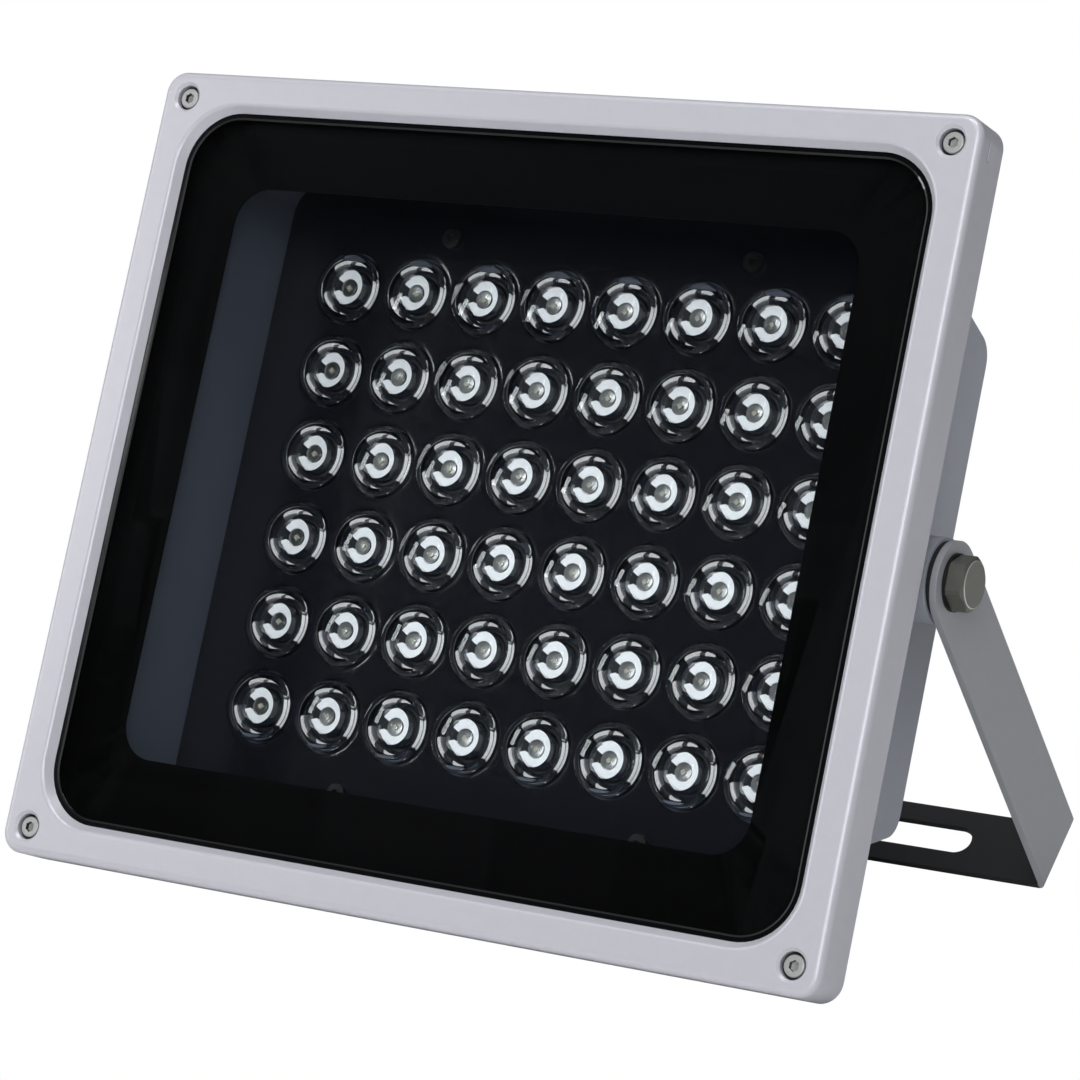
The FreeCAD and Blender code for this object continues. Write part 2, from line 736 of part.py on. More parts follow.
def make_led_cover_plate():
    body = new_body("led_cover_plate")
    fit = size("plate_fit")
    sketch = new_sketch(body, "PlateFace", "XY_Plane", -LEDGE_DEPTH)
    rounded_rectangle(sketch, CAVITY_WIDTH - 2 * fit, CAVITY_HEIGHT - 2 * fit, CAVITY_CORNER - fit)
    pad(body, sketch, size("plate_thickness"))
    fixing = new_sketch(body, "PlateFixingHoles", "XY_Plane", -PLATE_DEPTH)
    for across, up in four_corners(2 * size("plate_screw_across"), 2 * size("plate_screw_up")):
        circle(fixing, size("small_screw_shank") + 2 * size("shank_gap"), across, up)
    pocket(body, fixing, size("plate_thickness"))
    hole = new_sketch(body, "PlateLensHole", "XY_Plane", -PLATE_DEPTH)
    wide = size("led_pitch_wide")
    high = size("led_pitch_high")
    rows = size("led_rows")
    columns = size("led_columns")
    bottom = size("module_shift_up") - (rows - 1) * high / 2
    for row in range(int(rows.value)):
        circle(hole, size("lens_hole_diameter"), -(columns - 1) * wide / 2, bottom + row * high)
    column = pocket(body, hole, size("plate_thickness"))
    repeat_across(body, column, hole, (columns - 1) * wide, columns)
    return body


def make_led_board():
    board = make_sheet_piece("led_board", BOARD_WIDTH, BOARD_HEIGHT,
                             size("plate_fit"), BOARD_DEPTH, size("board_thickness"), SHIFT_UP)
    holes = new_sketch(board, "BoardHoles", "XY_Plane", -BOARD_DEPTH)
    for across, up in board_screw_places():
        circle(holes, size("small_screw_shank") + 2 * size("shank_gap"), across, up)
    for across, up in output_wire_places():
        circle(holes, size("wire_hole"), across, up)
    pocket(board, holes, size("board_thickness"))
    return board


def make_thermal_pad():
    inset = size("pad_inset")
    pad_body = make_sheet_piece("thermal_pad", BOARD_WIDTH - 2 * inset, BOARD_HEIGHT - 2 * inset,
                                size("plate_fit"), PAD_DEPTH, size("pad_thickness"), SHIFT_UP)
    sketch = new_sketch(pad_body, "PadCuts", "XY_Plane", -PAD_DEPTH)
    for across, up in board_screw_places():
        circle(sketch, size("small_screw_shank") + 2 * size("shank_gap"), across, up)
    for across, up in output_wire_places():
        circle(sketch, size("wire_hole"), across, up)
    pocket(pad_body, sketch, size("pad_thickness"))
    return pad_body


def turned(name, points):
    """A body turned about its own z axis from an outline of (radius, height) points."""
    body = new_body(name)
    sketch = new_sketch(body, name + "Section", "XZ_Plane")
    outline(sketch, points)
    revolve(body, sketch)
    return body


def make_lens():
    """Solid collimator lens: a cone that widens from the emitter to its flat front."""
    height = size("lens_height")
    return turned("lens_master", [
        (0, 0),
        (size("lens_base_diameter") / 2, 0),
        (size("lens_diameter") / 2, height),
        (0, height),
    ])


def make_emitter():
    body = new_body("emitter_master")
    sketch = new_sketch(body, "EmitterFace", "XY_Plane")
    side = size("emitter_side")
    rectangle(sketch, -side / 2, -side / 2, side, side)
    pad(body, sketch, size("emitter_height"))
    return body


def make_socket_screw(name, head, head_height, shank, length, socket, socket_depth):
    """Cap screw standing on z = 0 under its head, shank down."""
    body = turned(name, [
        (0, -length),
        (shank / 2, -length),
        (shank / 2, as_size(0)),
        (head / 2, as_size(0)),
        (head / 2, head_height),
        (0, head_height),
    ])
    recess = new_sketch(body, name + "Socket", "XY_Plane", head_height)
    hexagon(recess, socket)
    pocket(body, recess, socket_depth)
    return body


# Driver, terminals and gland

def make_driver():
    """Sealed supply with a mounting ear at each end, standing on the bay floor."""
    body = new_body("driver_case")
    base = new_sketch(body, "DriverCase", "XY_Plane", -BAY_FLOOR_DEPTH)
    shift = DRIVER_SHIFT
    rounded_rectangle(base, size("driver_length"), size("driver_width"), size("driver_corner"), shift, SHIFT_UP)
    pad(body, base, size("driver_height"))
    ears = new_sketch(body, "DriverEars", "XY_Plane", -BAY_FLOOR_DEPTH)
    ear = size("driver_ear")
    rectangle(ears, shift - size("driver_length") / 2 - ear, SHIFT_UP - ear, size("driver_length") + 2 * ear, 2 * ear)
    pad(body, ears, size("driver_ear_thickness"))
    holes = new_sketch(body, "DriverHoles", "XY_Plane", -BAY_FLOOR_DEPTH)
    for across in driver_screw_places():
        circle(holes, size("small_screw_shank") + 2 * size("shank_gap"), across, SHIFT_UP)
    pocket(body, holes, size("driver_ear_thickness"), reverse=True)
    return body


def driver_screw_places():
    offset = size("driver_length") / 2 + size("driver_ear") / 2
    return [DRIVER_SHIFT - offset, DRIVER_SHIFT + offset]


def terminal_left():
    return DRIVER_SHIFT + size("driver_length") / 2 + size("terminal_gap")


def make_terminal_block():
    body = new_body("terminal_block")
    sketch = new_sketch(body, "TerminalBlock", "XY_Plane", -BAY_FLOOR_DEPTH)
    width = size("terminal_width")
    rectangle(sketch, terminal_left(), SHIFT_UP - width / 2, size("terminal_length"), width)
    pad(body, sketch, size("terminal_height"))
    entries = new_sketch(body, "TerminalScrews", "XY_Plane", size("terminal_height") - BAY_FLOOR_DEPTH)
    for way in terminal_rows():
        circle(entries, 1.6 * size("wire_diameter"), terminal_left() + size("terminal_length") / 2, way)
    pocket(body, entries, size("terminal_height") / 2)
    return body


def terminal_rows():
    ways = int(size("terminal_ways").value)
    step = size("terminal_width") / size("terminal_ways")
    return [SHIFT_UP + (way - (ways - 1) / 2) * step for way in range(ways)]


def make_supply_wires():
    """Short insulated leads from the driver's end to the terminals."""
    leads = []
    start = (DRIVER_SHIFT + size("driver_length") / 2).value
    level = -BAY_FLOOR_DEPTH.value + size("terminal_height").value / 2
    for row in terminal_rows()[::2]:
        lead = Part.makeCylinder(size("wire_diameter").value / 2, size("terminal_gap").value,
                                 Vector(start, row.value, level), Vector(1, 0, 0))
        leads.append(lead)
    return leads


def output_wire_places():
    """Where the driver's two output leads come through the board, beside its first column."""
    across = DRIVER_SHIFT - size("driver_length") / 2 - 2 * size("wire_bend")
    up = size("module_shift_up")
    return [(across, up - size("wire_spread") / 2), (across, up + size("wire_spread") / 2)]


def make_output_wires():
    """Leads that leave the driver's end, turn and rise through the board."""
    leads = []
    level = -BAY_FLOOR_DEPTH.value + size("driver_height").value / 2
    start = (DRIVER_SHIFT - size("driver_length") / 2).value
    bend = size("wire_bend").value
    top = -BOARD_DEPTH.value + size("emitter_height").value
    for across, up in output_wire_places():
        turn = across.value
        run = Part.LineSegment(Vector(start, up.value, level), Vector(turn + bend, up.value, level))
        middle = Vector(turn + bend * (1 - math.sin(math.pi / 4)), up.value, level + bend * (1 - math.cos(math.pi / 4)))
        corner = Part.Arc(Vector(turn + bend, up.value, level), middle, Vector(turn, up.value, level + bend))
        rise = Part.LineSegment(Vector(turn, up.value, level + bend), Vector(turn, up.value, top))
        path = Part.Wire([run.toShape(), corner.toShape(), rise.toShape()])
        section = Part.Wire([Part.makeCircle(size("wire_diameter").value / 2, Vector(start, up.value, level),
                                             Vector(1, 0, 0))])
        leads.append(path.makePipeShell([section], True, True))
    return leads


def make_gland_body():
    """Hex collar outside the wall with a threaded neck through it."""
    body = new_body("gland_body")
    collar = new_sketch(body, "GlandCollar", "XY_Plane")
    hexagon(collar, size("gland_hex"))
    pad(body, collar, size("gland_hex_height"))
    neck = new_sketch(body, "GlandNeck", "XY_Plane")
    circle(neck, size("gland_thread"))
    neck_length = size("gland_seal_thickness") + size("bay_wall") + size("gland_nut_height")
    pad(body, neck, neck_length, reverse=True)
    bore = new_sketch(body, "GlandBore", "XY_Plane", size("gland_hex_height"))
    circle(bore, size("gland_bore"))
    pocket(body, bore, size("gland_hex_height") + neck_length)
    return body


def make_gland_cap():
    body = new_body("gland_cap")
    outside = new_sketch(body, "CapOutside", "XY_Plane")
    circle(outside, size("gland_cap_diameter"))
    pad(body, outside, size("gland_cap_height"))
    top = edges_where(body, lambda edge: lies_at(edge, "Z", size("gland_cap_height").value))
    dress(body, "Fillet", top, size("gland_cap_round"))
    bore = new_sketch(body, "CapBore", "XY_Plane")
    circle(bore, size("gland_bore"))
    pocket(body, bore, size("gland_cap_height"), reverse=True)
    return body


def make_washer(label, outer, inner, thickness):
    body = new_body(label)
    sketch = new_sketch(body, label + "Face", "XY_Plane")
    circle(sketch, outer)
    circle(sketch, inner)
    pad(body, sketch, thickness)
    return body


def make_gland_nut():
    body = new_body("gland_nut")
    sketch = new_sketch(body, "GlandNutFace", "XY_Plane")
    hexagon(sketch, size("gland_hex"))
    circle(sketch, size("gland_thread") + THREAD_GAP)
    pad(body, sketch, size("gland_nut_height"))
    return body


# Pivot hardware

def make_pivot_bolt(label):
    """Hex bolt: z = 0 under the head, head up, shank down; the head's corners are turned off."""
    body = new_body(label)
    head = new_sketch(body, label + "Head", "XY_Plane")
    hexagon(head, size("bolt_across_flats"))
    pad(body, head, size("bolt_head_height"))
    shank = new_sketch(body, label + "Shank", "XY_Plane")
    circle(shank, size("pivot_thread"))
    pad(body, shank, size("bolt_length"), reverse=True)
    cutter = new_sketch(body, label + "Corners", "XZ_Plane")
    face_radius = size("bolt_face_diameter") / 2
    corner = size("bolt_across_flats") / math.sqrt(3) + 1
    height = size("bolt_head_height")
    outline(cutter, [
        (face_radius, height),
        (corner, height - (corner - face_radius) * size("bolt_face_slope")),
        (corner, height + 1),
        (face_radius, height + 1),
    ])
    groove = body.newObject("PartDesign::Groove", label + "Groove")
    groove.Profile = cutter
    groove.ReferenceAxis = (cutter, ["V_Axis"])
    groove.Angle = 360
    body.Tip = groove
    doc.recompute()
    return body


def make_lock_washer(label):
    """Split spring washer."""
    body = make_washer(label, size("lock_washer_diameter"), size("bracket_hole"), size("lock_washer_thickness"))
    cut = new_sketch(body, label + "Split", "XY_Plane")
    gap = size("lock_washer_gap")
    rectangle(cut, size("pivot_thread") / 4, -gap / 2, size("lock_washer_diameter"), gap)
    pocket(body, cut, size("lock_washer_thickness"), reverse=True)
    return body


# Bracket

REAR_SIDE = -1


def make_bracket():
    """One folded strip: two arms with round ends and a base across the far end.

    Drawn about the pivot axis with the arms hanging down, y up and z to the front."""
    body = new_body("bracket")
    reach = size("bracket_reach")
    width = size("bracket_width")
    arm_top = width / 2 - size("arm_end_drop")
    blank = new_sketch(body, "BracketBlank", "XY_Plane")
    outline(blank, [
        (-ARM_OUTSIDE, arm_top),
        (-ARM_OUTSIDE, -reach),
        (ARM_OUTSIDE, -reach),
        (ARM_OUTSIDE, arm_top),
        (ARM_INSIDE, arm_top),
        (ARM_INSIDE, SHEET - reach),
        (-ARM_INSIDE, SHEET - reach),
        (-ARM_INSIDE, arm_top),
    ])
    pad(body, blank, width, symmetric=True)

    def at_bend(edge, across, up):
        middle = edge.CenterOfMass
        return abs(abs(middle.x) - across) < 1e-3 and abs(middle.y - up) < 1e-3 and edge.BoundBox.ZLength > 1

    inner = edges_where(body, lambda e: at_bend(e, ARM_INSIDE.value, SHEET.value - reach.value))
    dress(body, "Fillet", inner, size("bracket_bend"))
    outer = edges_where(body, lambda e: at_bend(e, ARM_OUTSIDE.value, -reach.value))
    dress(body, "Fillet", outer, size("bracket_bend") + SHEET)
    round_arm_ends(body, width)
    pivots = new_sketch(body, "BracketPivotHoles", "YZ_Plane")
    circle(pivots, size("bracket_hole"))
    pocket(body, pivots, 2 * ARM_OUTSIDE, symmetric=True)
    rear_cut = new_sketch(body, "BracketBaseCut", "XZ_Plane", reach)
    cut_half = ARM_INSIDE - size("bracket_bend") - size("base_cut_corner")
    rounded_rectangle(rear_cut, 2 * cut_half, 2 * size("base_cut"), size("base_cut_corner"), 0, REAR_SIDE * width / 2)
    pocket(body, rear_cut, SHEET + size("bracket_bend"))
    slots = new_sketch(body, "BracketSlots", "XZ_Plane", reach)
    slot_shift = -REAR_SIDE * size("base_cut") / 2
    for side in (-1, 1):
        rounded_rectangle(slots, size("slot_length"), size("slot_width"),
                          size("slot_width") / 2 - 0.01, side * size("slot_centre"), slot_shift)
    pocket(body, slots, SHEET)
    return body


def round_arm_ends(body, width):
    """Cut away what lies outside a half circle centred a little below the pivot."""
    sketch = new_sketch(body, "BracketEnds", "YZ_Plane")
    half = width / 2
    centre = -size("arm_end_drop")
    far = half + SHEET
    corners = [(centre, half), (centre, far), (far, far), (far, -far), (centre, -far), (centre, -half)]
    points = [Vector(across.value, up.value, 0) for across, up in corners]
    lines = []
    for first, second in zip(points[:-1], points[1:]):
        lines.append(sketch.addGeometry(Part.LineSegment(first, second), False))
    hub = Part.Circle(Vector(centre.value, 0, 0), Vector(0, 0, 1), half.value)
    end = sketch.addGeometry(Part.ArcOfCircle(hub, -math.pi / 2, math.pi / 2), False)
    for first, second in zip(lines[:-1], lines[1:]):
        constrain(sketch, "Coincident", first, END, second, START)
    constrain(sketch, "Coincident", lines[-1], END, end, START)
    constrain(sketch, "Coincident", end, END, lines[0], START)
    place_point(sketch, end, CENTRE, centre, 0)
    for line, (across, up) in zip(lines[1:], corners[1:-1]):
        place_point(sketch, line, START, across, up)
    constrain(sketch, "Vertical", lines[-1])
    constrain(sketch, "Vertical", lines[0])
    constrain(sketch, "Radius", end, half)
    pocket(body, sketch, 2 * ARM_OUTSIDE + SHEET, symmetric=True)


# Placing the pieces

def stance_tilt():
    """How far the head leans back, in degrees, with its bezel's lower rear edge and the
    bracket's lower front edge on one plane."""
    angle = math.radians(size("bracket_angle").value)
    reach = size("bracket_reach").value
    half = size("bracket_width").value / 2
    contact_depth = PIVOT_DEPTH.value + reach * math.sin(angle) - half * math.cos(angle)
    contact_up = PIVOT_UP.value - reach * math.cos(angle) - half * math.sin(angle)
    run = contact_depth - BEZEL_DEPTH.value
    rise = contact_up + size("bezel_height").value / 2
    return math.degrees(math.atan2(rise, run))


X_DIRECTION = Vector(1, 0, 0)
HEAD = FreeCAD.Placement(Vector(0, 0, 0), FreeCAD.Rotation(X_DIRECTION, 90 - stance_tilt()))


def at(across, up, depth, rotation=None):
    """Placement of a piece drawn about its own z axis, in the head's frame."""
    spot = Vector(as_size(across).value, as_size(up).value, -as_size(depth).value)
    return FreeCAD.Placement(spot, rotation or FreeCAD.Rotation())


def copies(label, solids):
    """One node that holds several like solids."""
    feature = doc.addObject("Part::Feature", label)
    feature.Label = label
    feature.Shape = Part.makeCompound(solids)
    return feature


def moved(shape, placement):
    solid = shape.copy()
    solid.Placement = placement.multiply(solid.Placement)
    return solid


FACE_RIGHT = FreeCAD.Rotation(Vector(0, 1, 0), 90)
FACE_LEFT = FreeCAD.Rotation(Vector(0, 1, 0), -90)
FACE_BACK = FreeCAD.Rotation(Vector(1, 0, 0), 180)

parts = []


def keep(feature, placement=None):
    parts.append((feature, placement or FreeCAD.Placement()))


def build_head():
    keep(make_front_bezel())
    keep(make_window_glass())
    keep(make_glass_border())
    keep(make_window_gasket())
    keep(make_rear_housing())
    keep(make_led_cover_plate())
    keep(make_led_board())
    keep(make_thermal_pad())
    lens = make_lens().Shape.Solids[0]
    emitter = make_emitter().Shape.Solids[0]
    places = led_places()
    keep(copies("led_lenses", [moved(lens, at(across, up, LENS_FOOT_DEPTH)) for across, up in places]))
    keep(copies("led_emitters", [moved(emitter, at(across, up, BOARD_DEPTH)) for across, up in places]))
    bezel_screw = make_socket_screw(
        "bezel_screw_master", size("screw_head"), size("screw_head_height"), size("screw_shank"),
        size("screw_length"), size("screw_socket"), size("screw_socket_depth")).Shape.Solids[0]
    corners = four_corners(SCREW_SPAN_WIDE, SCREW_SPAN_HIGH)
    keep(copies("bezel_screws", [moved(bezel_screw, at(x, y, SCREW_SEAT_DEPTH)) for x, y in corners]))
    small = make_socket_screw(
        "small_screw_master", size("small_screw_head"), size("small_screw_head_height"),
        size("small_screw_shank"), size("plate_thickness") + size("small_screw_length") - 0.2,
        size("small_screw_shank") * 0.7, size("small_screw_head_height") / 2).Shape.Solids[0]
    spots = four_corners(2 * size("plate_screw_across"), 2 * size("plate_screw_up"))
    keep(copies("plate_screws", [moved(small, at(x, y, PLATE_DEPTH)) for x, y in spots]))
    keep(copies("board_screws", [moved(small, at(x, y, BOARD_DEPTH)) for x, y in board_screw_places()]))
    ear_depth = BAY_FLOOR_DEPTH - size("driver_ear_thickness")
    keep(copies("driver_screws", [moved(small, at(x, SHIFT_UP, ear_depth)) for x in driver_screw_places()]))


def build_supply():
    keep(make_driver())
    keep(make_terminal_block())
    keep(copies("supply_wires", make_supply_wires()))
    keep(copies("output_wires", make_output_wires()))
    across = size("gland_across")
    seal = size("gland_seal_thickness")
    keep(make_washer("gland_seal", size("gland_cap_diameter"), size("gland_thread") + THREAD_GAP, seal),
         at(across, SHIFT_UP, REAR_DEPTH, FACE_BACK))
    keep(make_gland_body(), at(across, SHIFT_UP, REAR_DEPTH + seal, FACE_BACK))
    keep(make_gland_cap(), at(across, SHIFT_UP, REAR_DEPTH + seal + size("gland_hex_height"), FACE_BACK))
    keep(make_gland_nut(), at(across, SHIFT_UP, BAY_FLOOR_DEPTH))


def build_pivots():
    washer = size("friction_washer")
    for side, name, turn in ((1, "right", FACE_RIGHT), (-1, "left", FACE_LEFT)):
        keep(make_washer("friction_washer_" + name, size("friction_washer_diameter"), size("bracket_hole"), washer),
             at(side * BOSS_FACE, PIVOT_UP, PIVOT_DEPTH, turn))
        keep(make_lock_washer("lock_washer_" + name), at(side * (ARM_OUTSIDE + PLAY), PIVOT_UP, PIVOT_DEPTH, turn))
        flats_upright = turn.multiply(FreeCAD.Rotation(Vector(0, 0, 1), -side * size("bolt_turn").value))
        keep(make_pivot_bolt("pivot_bolt_" + name),
             at(side * (ARM_OUTSIDE + PLAY + size("lock_washer_thickness")), PIVOT_UP, PIVOT_DEPTH, flats_upright))


def build_bracket():
    swing = FreeCAD.Rotation(X_DIRECTION, size("bracket_angle").value)
    keep(make_bracket(), at(0, PIVOT_UP, PIVOT_DEPTH, swing))


def settle():
    """Stand the light on the origin: centred, with its lowest edges at height zero."""
    doc.recompute()
    for feature, placement in parts:
        feature.Placement = HEAD.multiply(placement)
    doc.recompute()
    whole = Part.makeCompound([feature.Shape for feature, placement in parts])
    box = whole.optimalBoundingBox(True, False)
    shift = Vector(0, -(box.YMin + box.YMax) / 2, -box.ZMin)
    for feature, placement in parts:
        feature.Placement = FreeCAD.Placement(shift, FreeCAD.Rotation()).multiply(feature.Placement)
    doc.recompute()
    return shift


def check_document():
    for item in doc.Objects:
        if "Invalid" in item.State or "Error" in item.State:
            raise RuntimeError(item.Label + " failed")
    for feature, placement in parts:
        shape = feature.Shape
        if shape.isNull() or not shape.isValid() or not shape.Solids:
            raise RuntimeError(feature.Label + " has no valid solid")


build_head()
build_supply()
build_pivots()
build_bracket()
origin_shift = settle()
check_document()
os.makedirs("parts", exist_ok=True)
for feature, placement in parts:
    feature.Shape.exportStep("parts/" + feature.Label + ".step")
pivot = HEAD.multVec(Vector(0, PIVOT_UP.value, -PIVOT_DEPTH.value)) + origin_shift
print("lean back", round(stance_tilt(), 3), "pivot", [round(value, 3) for value in pivot])
print(len(parts), "pieces,", round(sum(f.Shape.Volume for f, p in parts) / 1000, 1), "cm3")
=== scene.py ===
"""LED flood light: looks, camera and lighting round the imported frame. Metres, Blender 4.5."""

import json
import math

import bmesh
import bpy
from mathutils import Matrix, Vector


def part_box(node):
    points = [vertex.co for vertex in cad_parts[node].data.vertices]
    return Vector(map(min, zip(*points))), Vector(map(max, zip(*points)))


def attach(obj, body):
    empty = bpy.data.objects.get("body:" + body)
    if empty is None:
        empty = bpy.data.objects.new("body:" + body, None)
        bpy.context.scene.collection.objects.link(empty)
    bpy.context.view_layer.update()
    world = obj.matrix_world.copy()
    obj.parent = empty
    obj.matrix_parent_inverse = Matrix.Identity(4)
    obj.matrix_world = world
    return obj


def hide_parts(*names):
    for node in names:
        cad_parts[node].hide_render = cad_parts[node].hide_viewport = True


MM = 0.001

# The head's own frame: x right, y up the face, z out of the face, bezel front at z = 0
LEAN_BACK = math.radians(22.022)
PIVOT_DEPTH = 33 * MM
PIVOT_UP = -1 * MM
SHIFT_UP = 2.2 * MM
OPENING = (228.6 * MM, 198.8 * MM, 16 * MM)
GLASS_FRONT = 3 * MM
CAVITY = (204.6 * MM, 184.2 * MM, 10.8 * MM)
CAVITY_EDGE = 0.1 * MM
FLOOR_PADDING = 3 * MM

# Perforated plate
PLATE_DEPTH = 41.5 * MM
PLATE_THICKNESS = 2 * MM
PLATE_FIT = 0.6 * MM
HOLE_RADIUS = 10.3 * MM
# The hole's dished edge: how much wider than the hole, and how far under the plate's face
HOLE_EDGE = ((1.4 * MM, 0.0), (1.1 * MM, 0.007 * MM), (0.8 * MM, 0.028 * MM), (0.5 * MM, 0.063 * MM),
             (0.2 * MM, 0.115 * MM), (0.06 * MM, 0.25 * MM), (0.0, 0.5 * MM))
SCREW_HOLE_RADIUS = 1.7 * MM
PLATE_SCREW_ACROSS = 47.2 * MM
PLATE_SCREW_UP = 77.7 * MM

# Seal lip on the glass: inset from the bezel's opening, and height over the glass
LIP_SECTION = ((-0.2 * MM, 0.02 * MM), (-0.2 * MM, 0.35 * MM), (1.1 * MM, 0.35 * MM),
               (1.6 * MM, 0.15 * MM), (1.65 * MM, 0.02 * MM))

# LED grid
BOARD_DEPTH = 49 * MM
LED_COLUMNS = 8
LED_ROWS = 6
LED_PITCH = (22.3 * MM, 23.8 * MM)
EMITTER_HEIGHT = 1.6 * MM

# Lens and its holder
LENS_FRONT_DEPTH = 39 * MM
LENS_RADIUS = 9.9 * MM
LENS_HEIGHT = BOARD_DEPTH - LENS_FRONT_DEPTH - EMITTER_HEIGHT
WELL_RADIUS = 5.0 * MM
WELL_TOP = 6.7 * MM
WELL_BULGE = 0.5 * MM
WELL_FLARE = 0.2 * MM
WELL_STEPS = 8
FOOT_RADIUS = 5.8 * MM
FLANGE = 0.9 * MM
FLANGE_TOP = LENS_HEIGHT - 1.8 * MM
FLANGE_SOFT = 0.15 * MM
SIDE_STEPS = 16
SIDE_BULGE = 0.9
SIDE_RISE = 1.25
# Raised front of the lens: inset from its outside, and depth under its front
LENS_STEP = ((0.8 * MM, 0.25 * MM), (0.95 * MM, 0.05 * MM), (1.1 * MM, 0))
STEP_FOOT = 0.75 * MM
HOLDER_GAP = 0.3 * MM
HOLDER_FOOT = 0.6 * MM
HOLDER_SIDE_GAP = 0.05 * MM
HOLDER_SKIRT = 2 * MM

# Emitter: star board, tower, white frame with tabs, cup, die and dome
STAR_RADIUS = 9.4 * MM
STAR_THICKNESS = 0.5 * MM
TOWER_RADIUS = 4.5 * MM
RING_LEVEL = 6.4 * MM
RING_TOP = 7.0 * MM
RING_RADII = (2.4 * MM, 4.5 * MM)
RING_SPAN = (-155, 150)
BLOCK_SOFT = 0.12 * MM
DEGREES_PER_STEP = 6
WALL_OUT = 0.35 * MM
WALL_DROP = 1.2 * MM
WALL_SPAN = (45, 125)
BAR_IN = 0.6 * MM
BAR_OUT = 0.3 * MM
BAR_STEP = 0.1 * MM
BAR_SPAN = (196, 206)
# Lead tabs and the sector on the tower's side glow: painted glints and a painted bright arc in the lens
TAB_GAP = 0.02 * MM
TAB_OUT = 0.2 * MM
TAB_LEVELS = (2.2 * MM, 5.6 * MM)
TAB_SPANS = ((50, 74), (96, 116), (128, 150), (180, 202), (226, 252))
GLOW_LEVELS = (1.0 * MM, 6.2 * MM)
GLOW_SPAN = (-45, 32)
CUP_SECTION = ((0, 0), (2.35 * MM, 0), (2.3 * MM, 0.35 * MM), (1.9 * MM, 0.1 * MM), (0, 0.1 * MM))
CUP_FLOOR = 0.1 * MM
DIE_RADIUS = 0.8 * MM
DIE_HEIGHT = 0.2 * MM
DOME_RADIUS = 2.3 * MM
DOME_HEIGHT = 0.75 * MM
DOME_LEVEL = 0.4 * MM
DOME_STEPS = 12

# Pivot bolt
BOLT_FLATS = 13 * MM
BOLT_LIMIT = 7.15 * MM
BOLT_FACE = 6.1 * MM
BOLT_SLOPE = 0.6
BOLT_SOFT = 0.2 * MM
BOLT_HEAD = 4.8 * MM
BOLT_SHANK = 4 * MM
BOLT_LENGTH = 18 * MM
BOLT_TURN = math.radians(8)
BOLT_CREASE = 0.12

# Bezel screw and its seal ring
SCREW_PLACE = (117 * MM, 102.6 * MM)
SCREW_SEAT = 4.2 * MM
SCREW_SOCKET = 2.5 * MM
# Reach and floor of the socket walls that carry painted shade
SOCKET_REACH = 1.6 * MM
SOCKET_FLOOR = 1.5 * MM
SEAL_SECTION = ((2.85 * MM, 0), (3.4 * MM, 0), (3.4 * MM, 2.1 * MM), (3.2 * MM, 2.3 * MM),
                (2.95 * MM, 2.3 * MM), (2.85 * MM, 2.2 * MM), (2.85 * MM, 0))

BRACKET_ANGLE = math.radians(60)
BRACKET_REACH = 110 * MM
BRACKET_BEND = 0.6 * MM
SHEET = 1.8 * MM
ARM_INSIDE = 122.7 * MM
CUT_EDGE = 0.1 * MM

# Surface detail
MOTTLE_SCALE = 350
MOTTLE_DETAIL = 5
MOTTLE_GLOSS = 0.2
MOTTLE_RANGE = (0.3, 0.7)
COAT_ROUGHNESS = 0.1
GRAIN_SCALE = 1800
GRAIN_DETAIL = 4
GRAIN_STRENGTH = 0.5
GRAIN_DEPTH = 0.00004
PAINT_SPREAD = 0.012
PAINT_GLOSS = 0.05
EDGE_SOFTNESS = 0.3 * MM
EDGE_SAMPLES = 6

CAMERA_PLACE = (0.5471, -0.1374, 0.8474)
CAMERA_FORWARD = (-0.5209, 0.1287, -0.8439)
CAMERA_UP = (-0.1044, 0.9716, 0.2128)
CAMERA_LENS = 131.85
CAMERA_SENSOR = 36

# Direction that the window mirrors towards the camera
MIRRORED = (-0.521, -0.731, 0.441)
# World strength at the cosine from the mirrored direction
WORLD_STOPS = ((-1.0, 0.08), (-0.2, 0.10), (0.25, 0.17), (0.6, 0.6), (0.8, 0.65), (0.89, 0.02), (1.0, 0.01))
WORLD_TINT = (0.92, 0.95, 1, 1)
FLOOR_HALF = 6
FLOOR_GREY = 0.75
FLOOR_ROUGHNESS = 0.9


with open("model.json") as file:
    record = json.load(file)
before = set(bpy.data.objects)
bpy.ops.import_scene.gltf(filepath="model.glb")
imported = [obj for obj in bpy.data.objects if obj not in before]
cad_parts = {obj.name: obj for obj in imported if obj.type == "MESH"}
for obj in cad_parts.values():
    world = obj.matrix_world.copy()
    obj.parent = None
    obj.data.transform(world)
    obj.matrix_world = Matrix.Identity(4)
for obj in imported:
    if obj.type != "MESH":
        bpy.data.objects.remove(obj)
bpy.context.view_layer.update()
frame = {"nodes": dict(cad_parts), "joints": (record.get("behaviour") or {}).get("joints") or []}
nodes = frame["nodes"]
pivot = Vector(frame["joints"][0]["pos_m"])
HEAD = Matrix.Translation(pivot) @ Matrix.Rotation(math.pi / 2 - LEAN_BACK, 4, "X") @ Matrix.Translation(
    (0, -PIVOT_UP, PIVOT_DEPTH))


# Materials

def new_material(name):
    material = bpy.data.materials.new(name)
    material.use_nodes = True
    tree = material.node_tree
    return material, tree, tree.nodes["Principled BSDF"]


def choose_by_ray(tree, ray, usual, special, surface):
    """One shader for rays of the named kind and another for all the rest."""
    path = tree.nodes.new("ShaderNodeLightPath")
    choose = tree.nodes.new("ShaderNodeMixShader")
    tree.links.new(path.outputs[ray], choose.inputs["Fac"])
    tree.links.new(usual, choose.inputs[1])
    tree.links.new(special, choose.inputs[2])
    tree.links.new(choose.outputs["Shader"], surface)


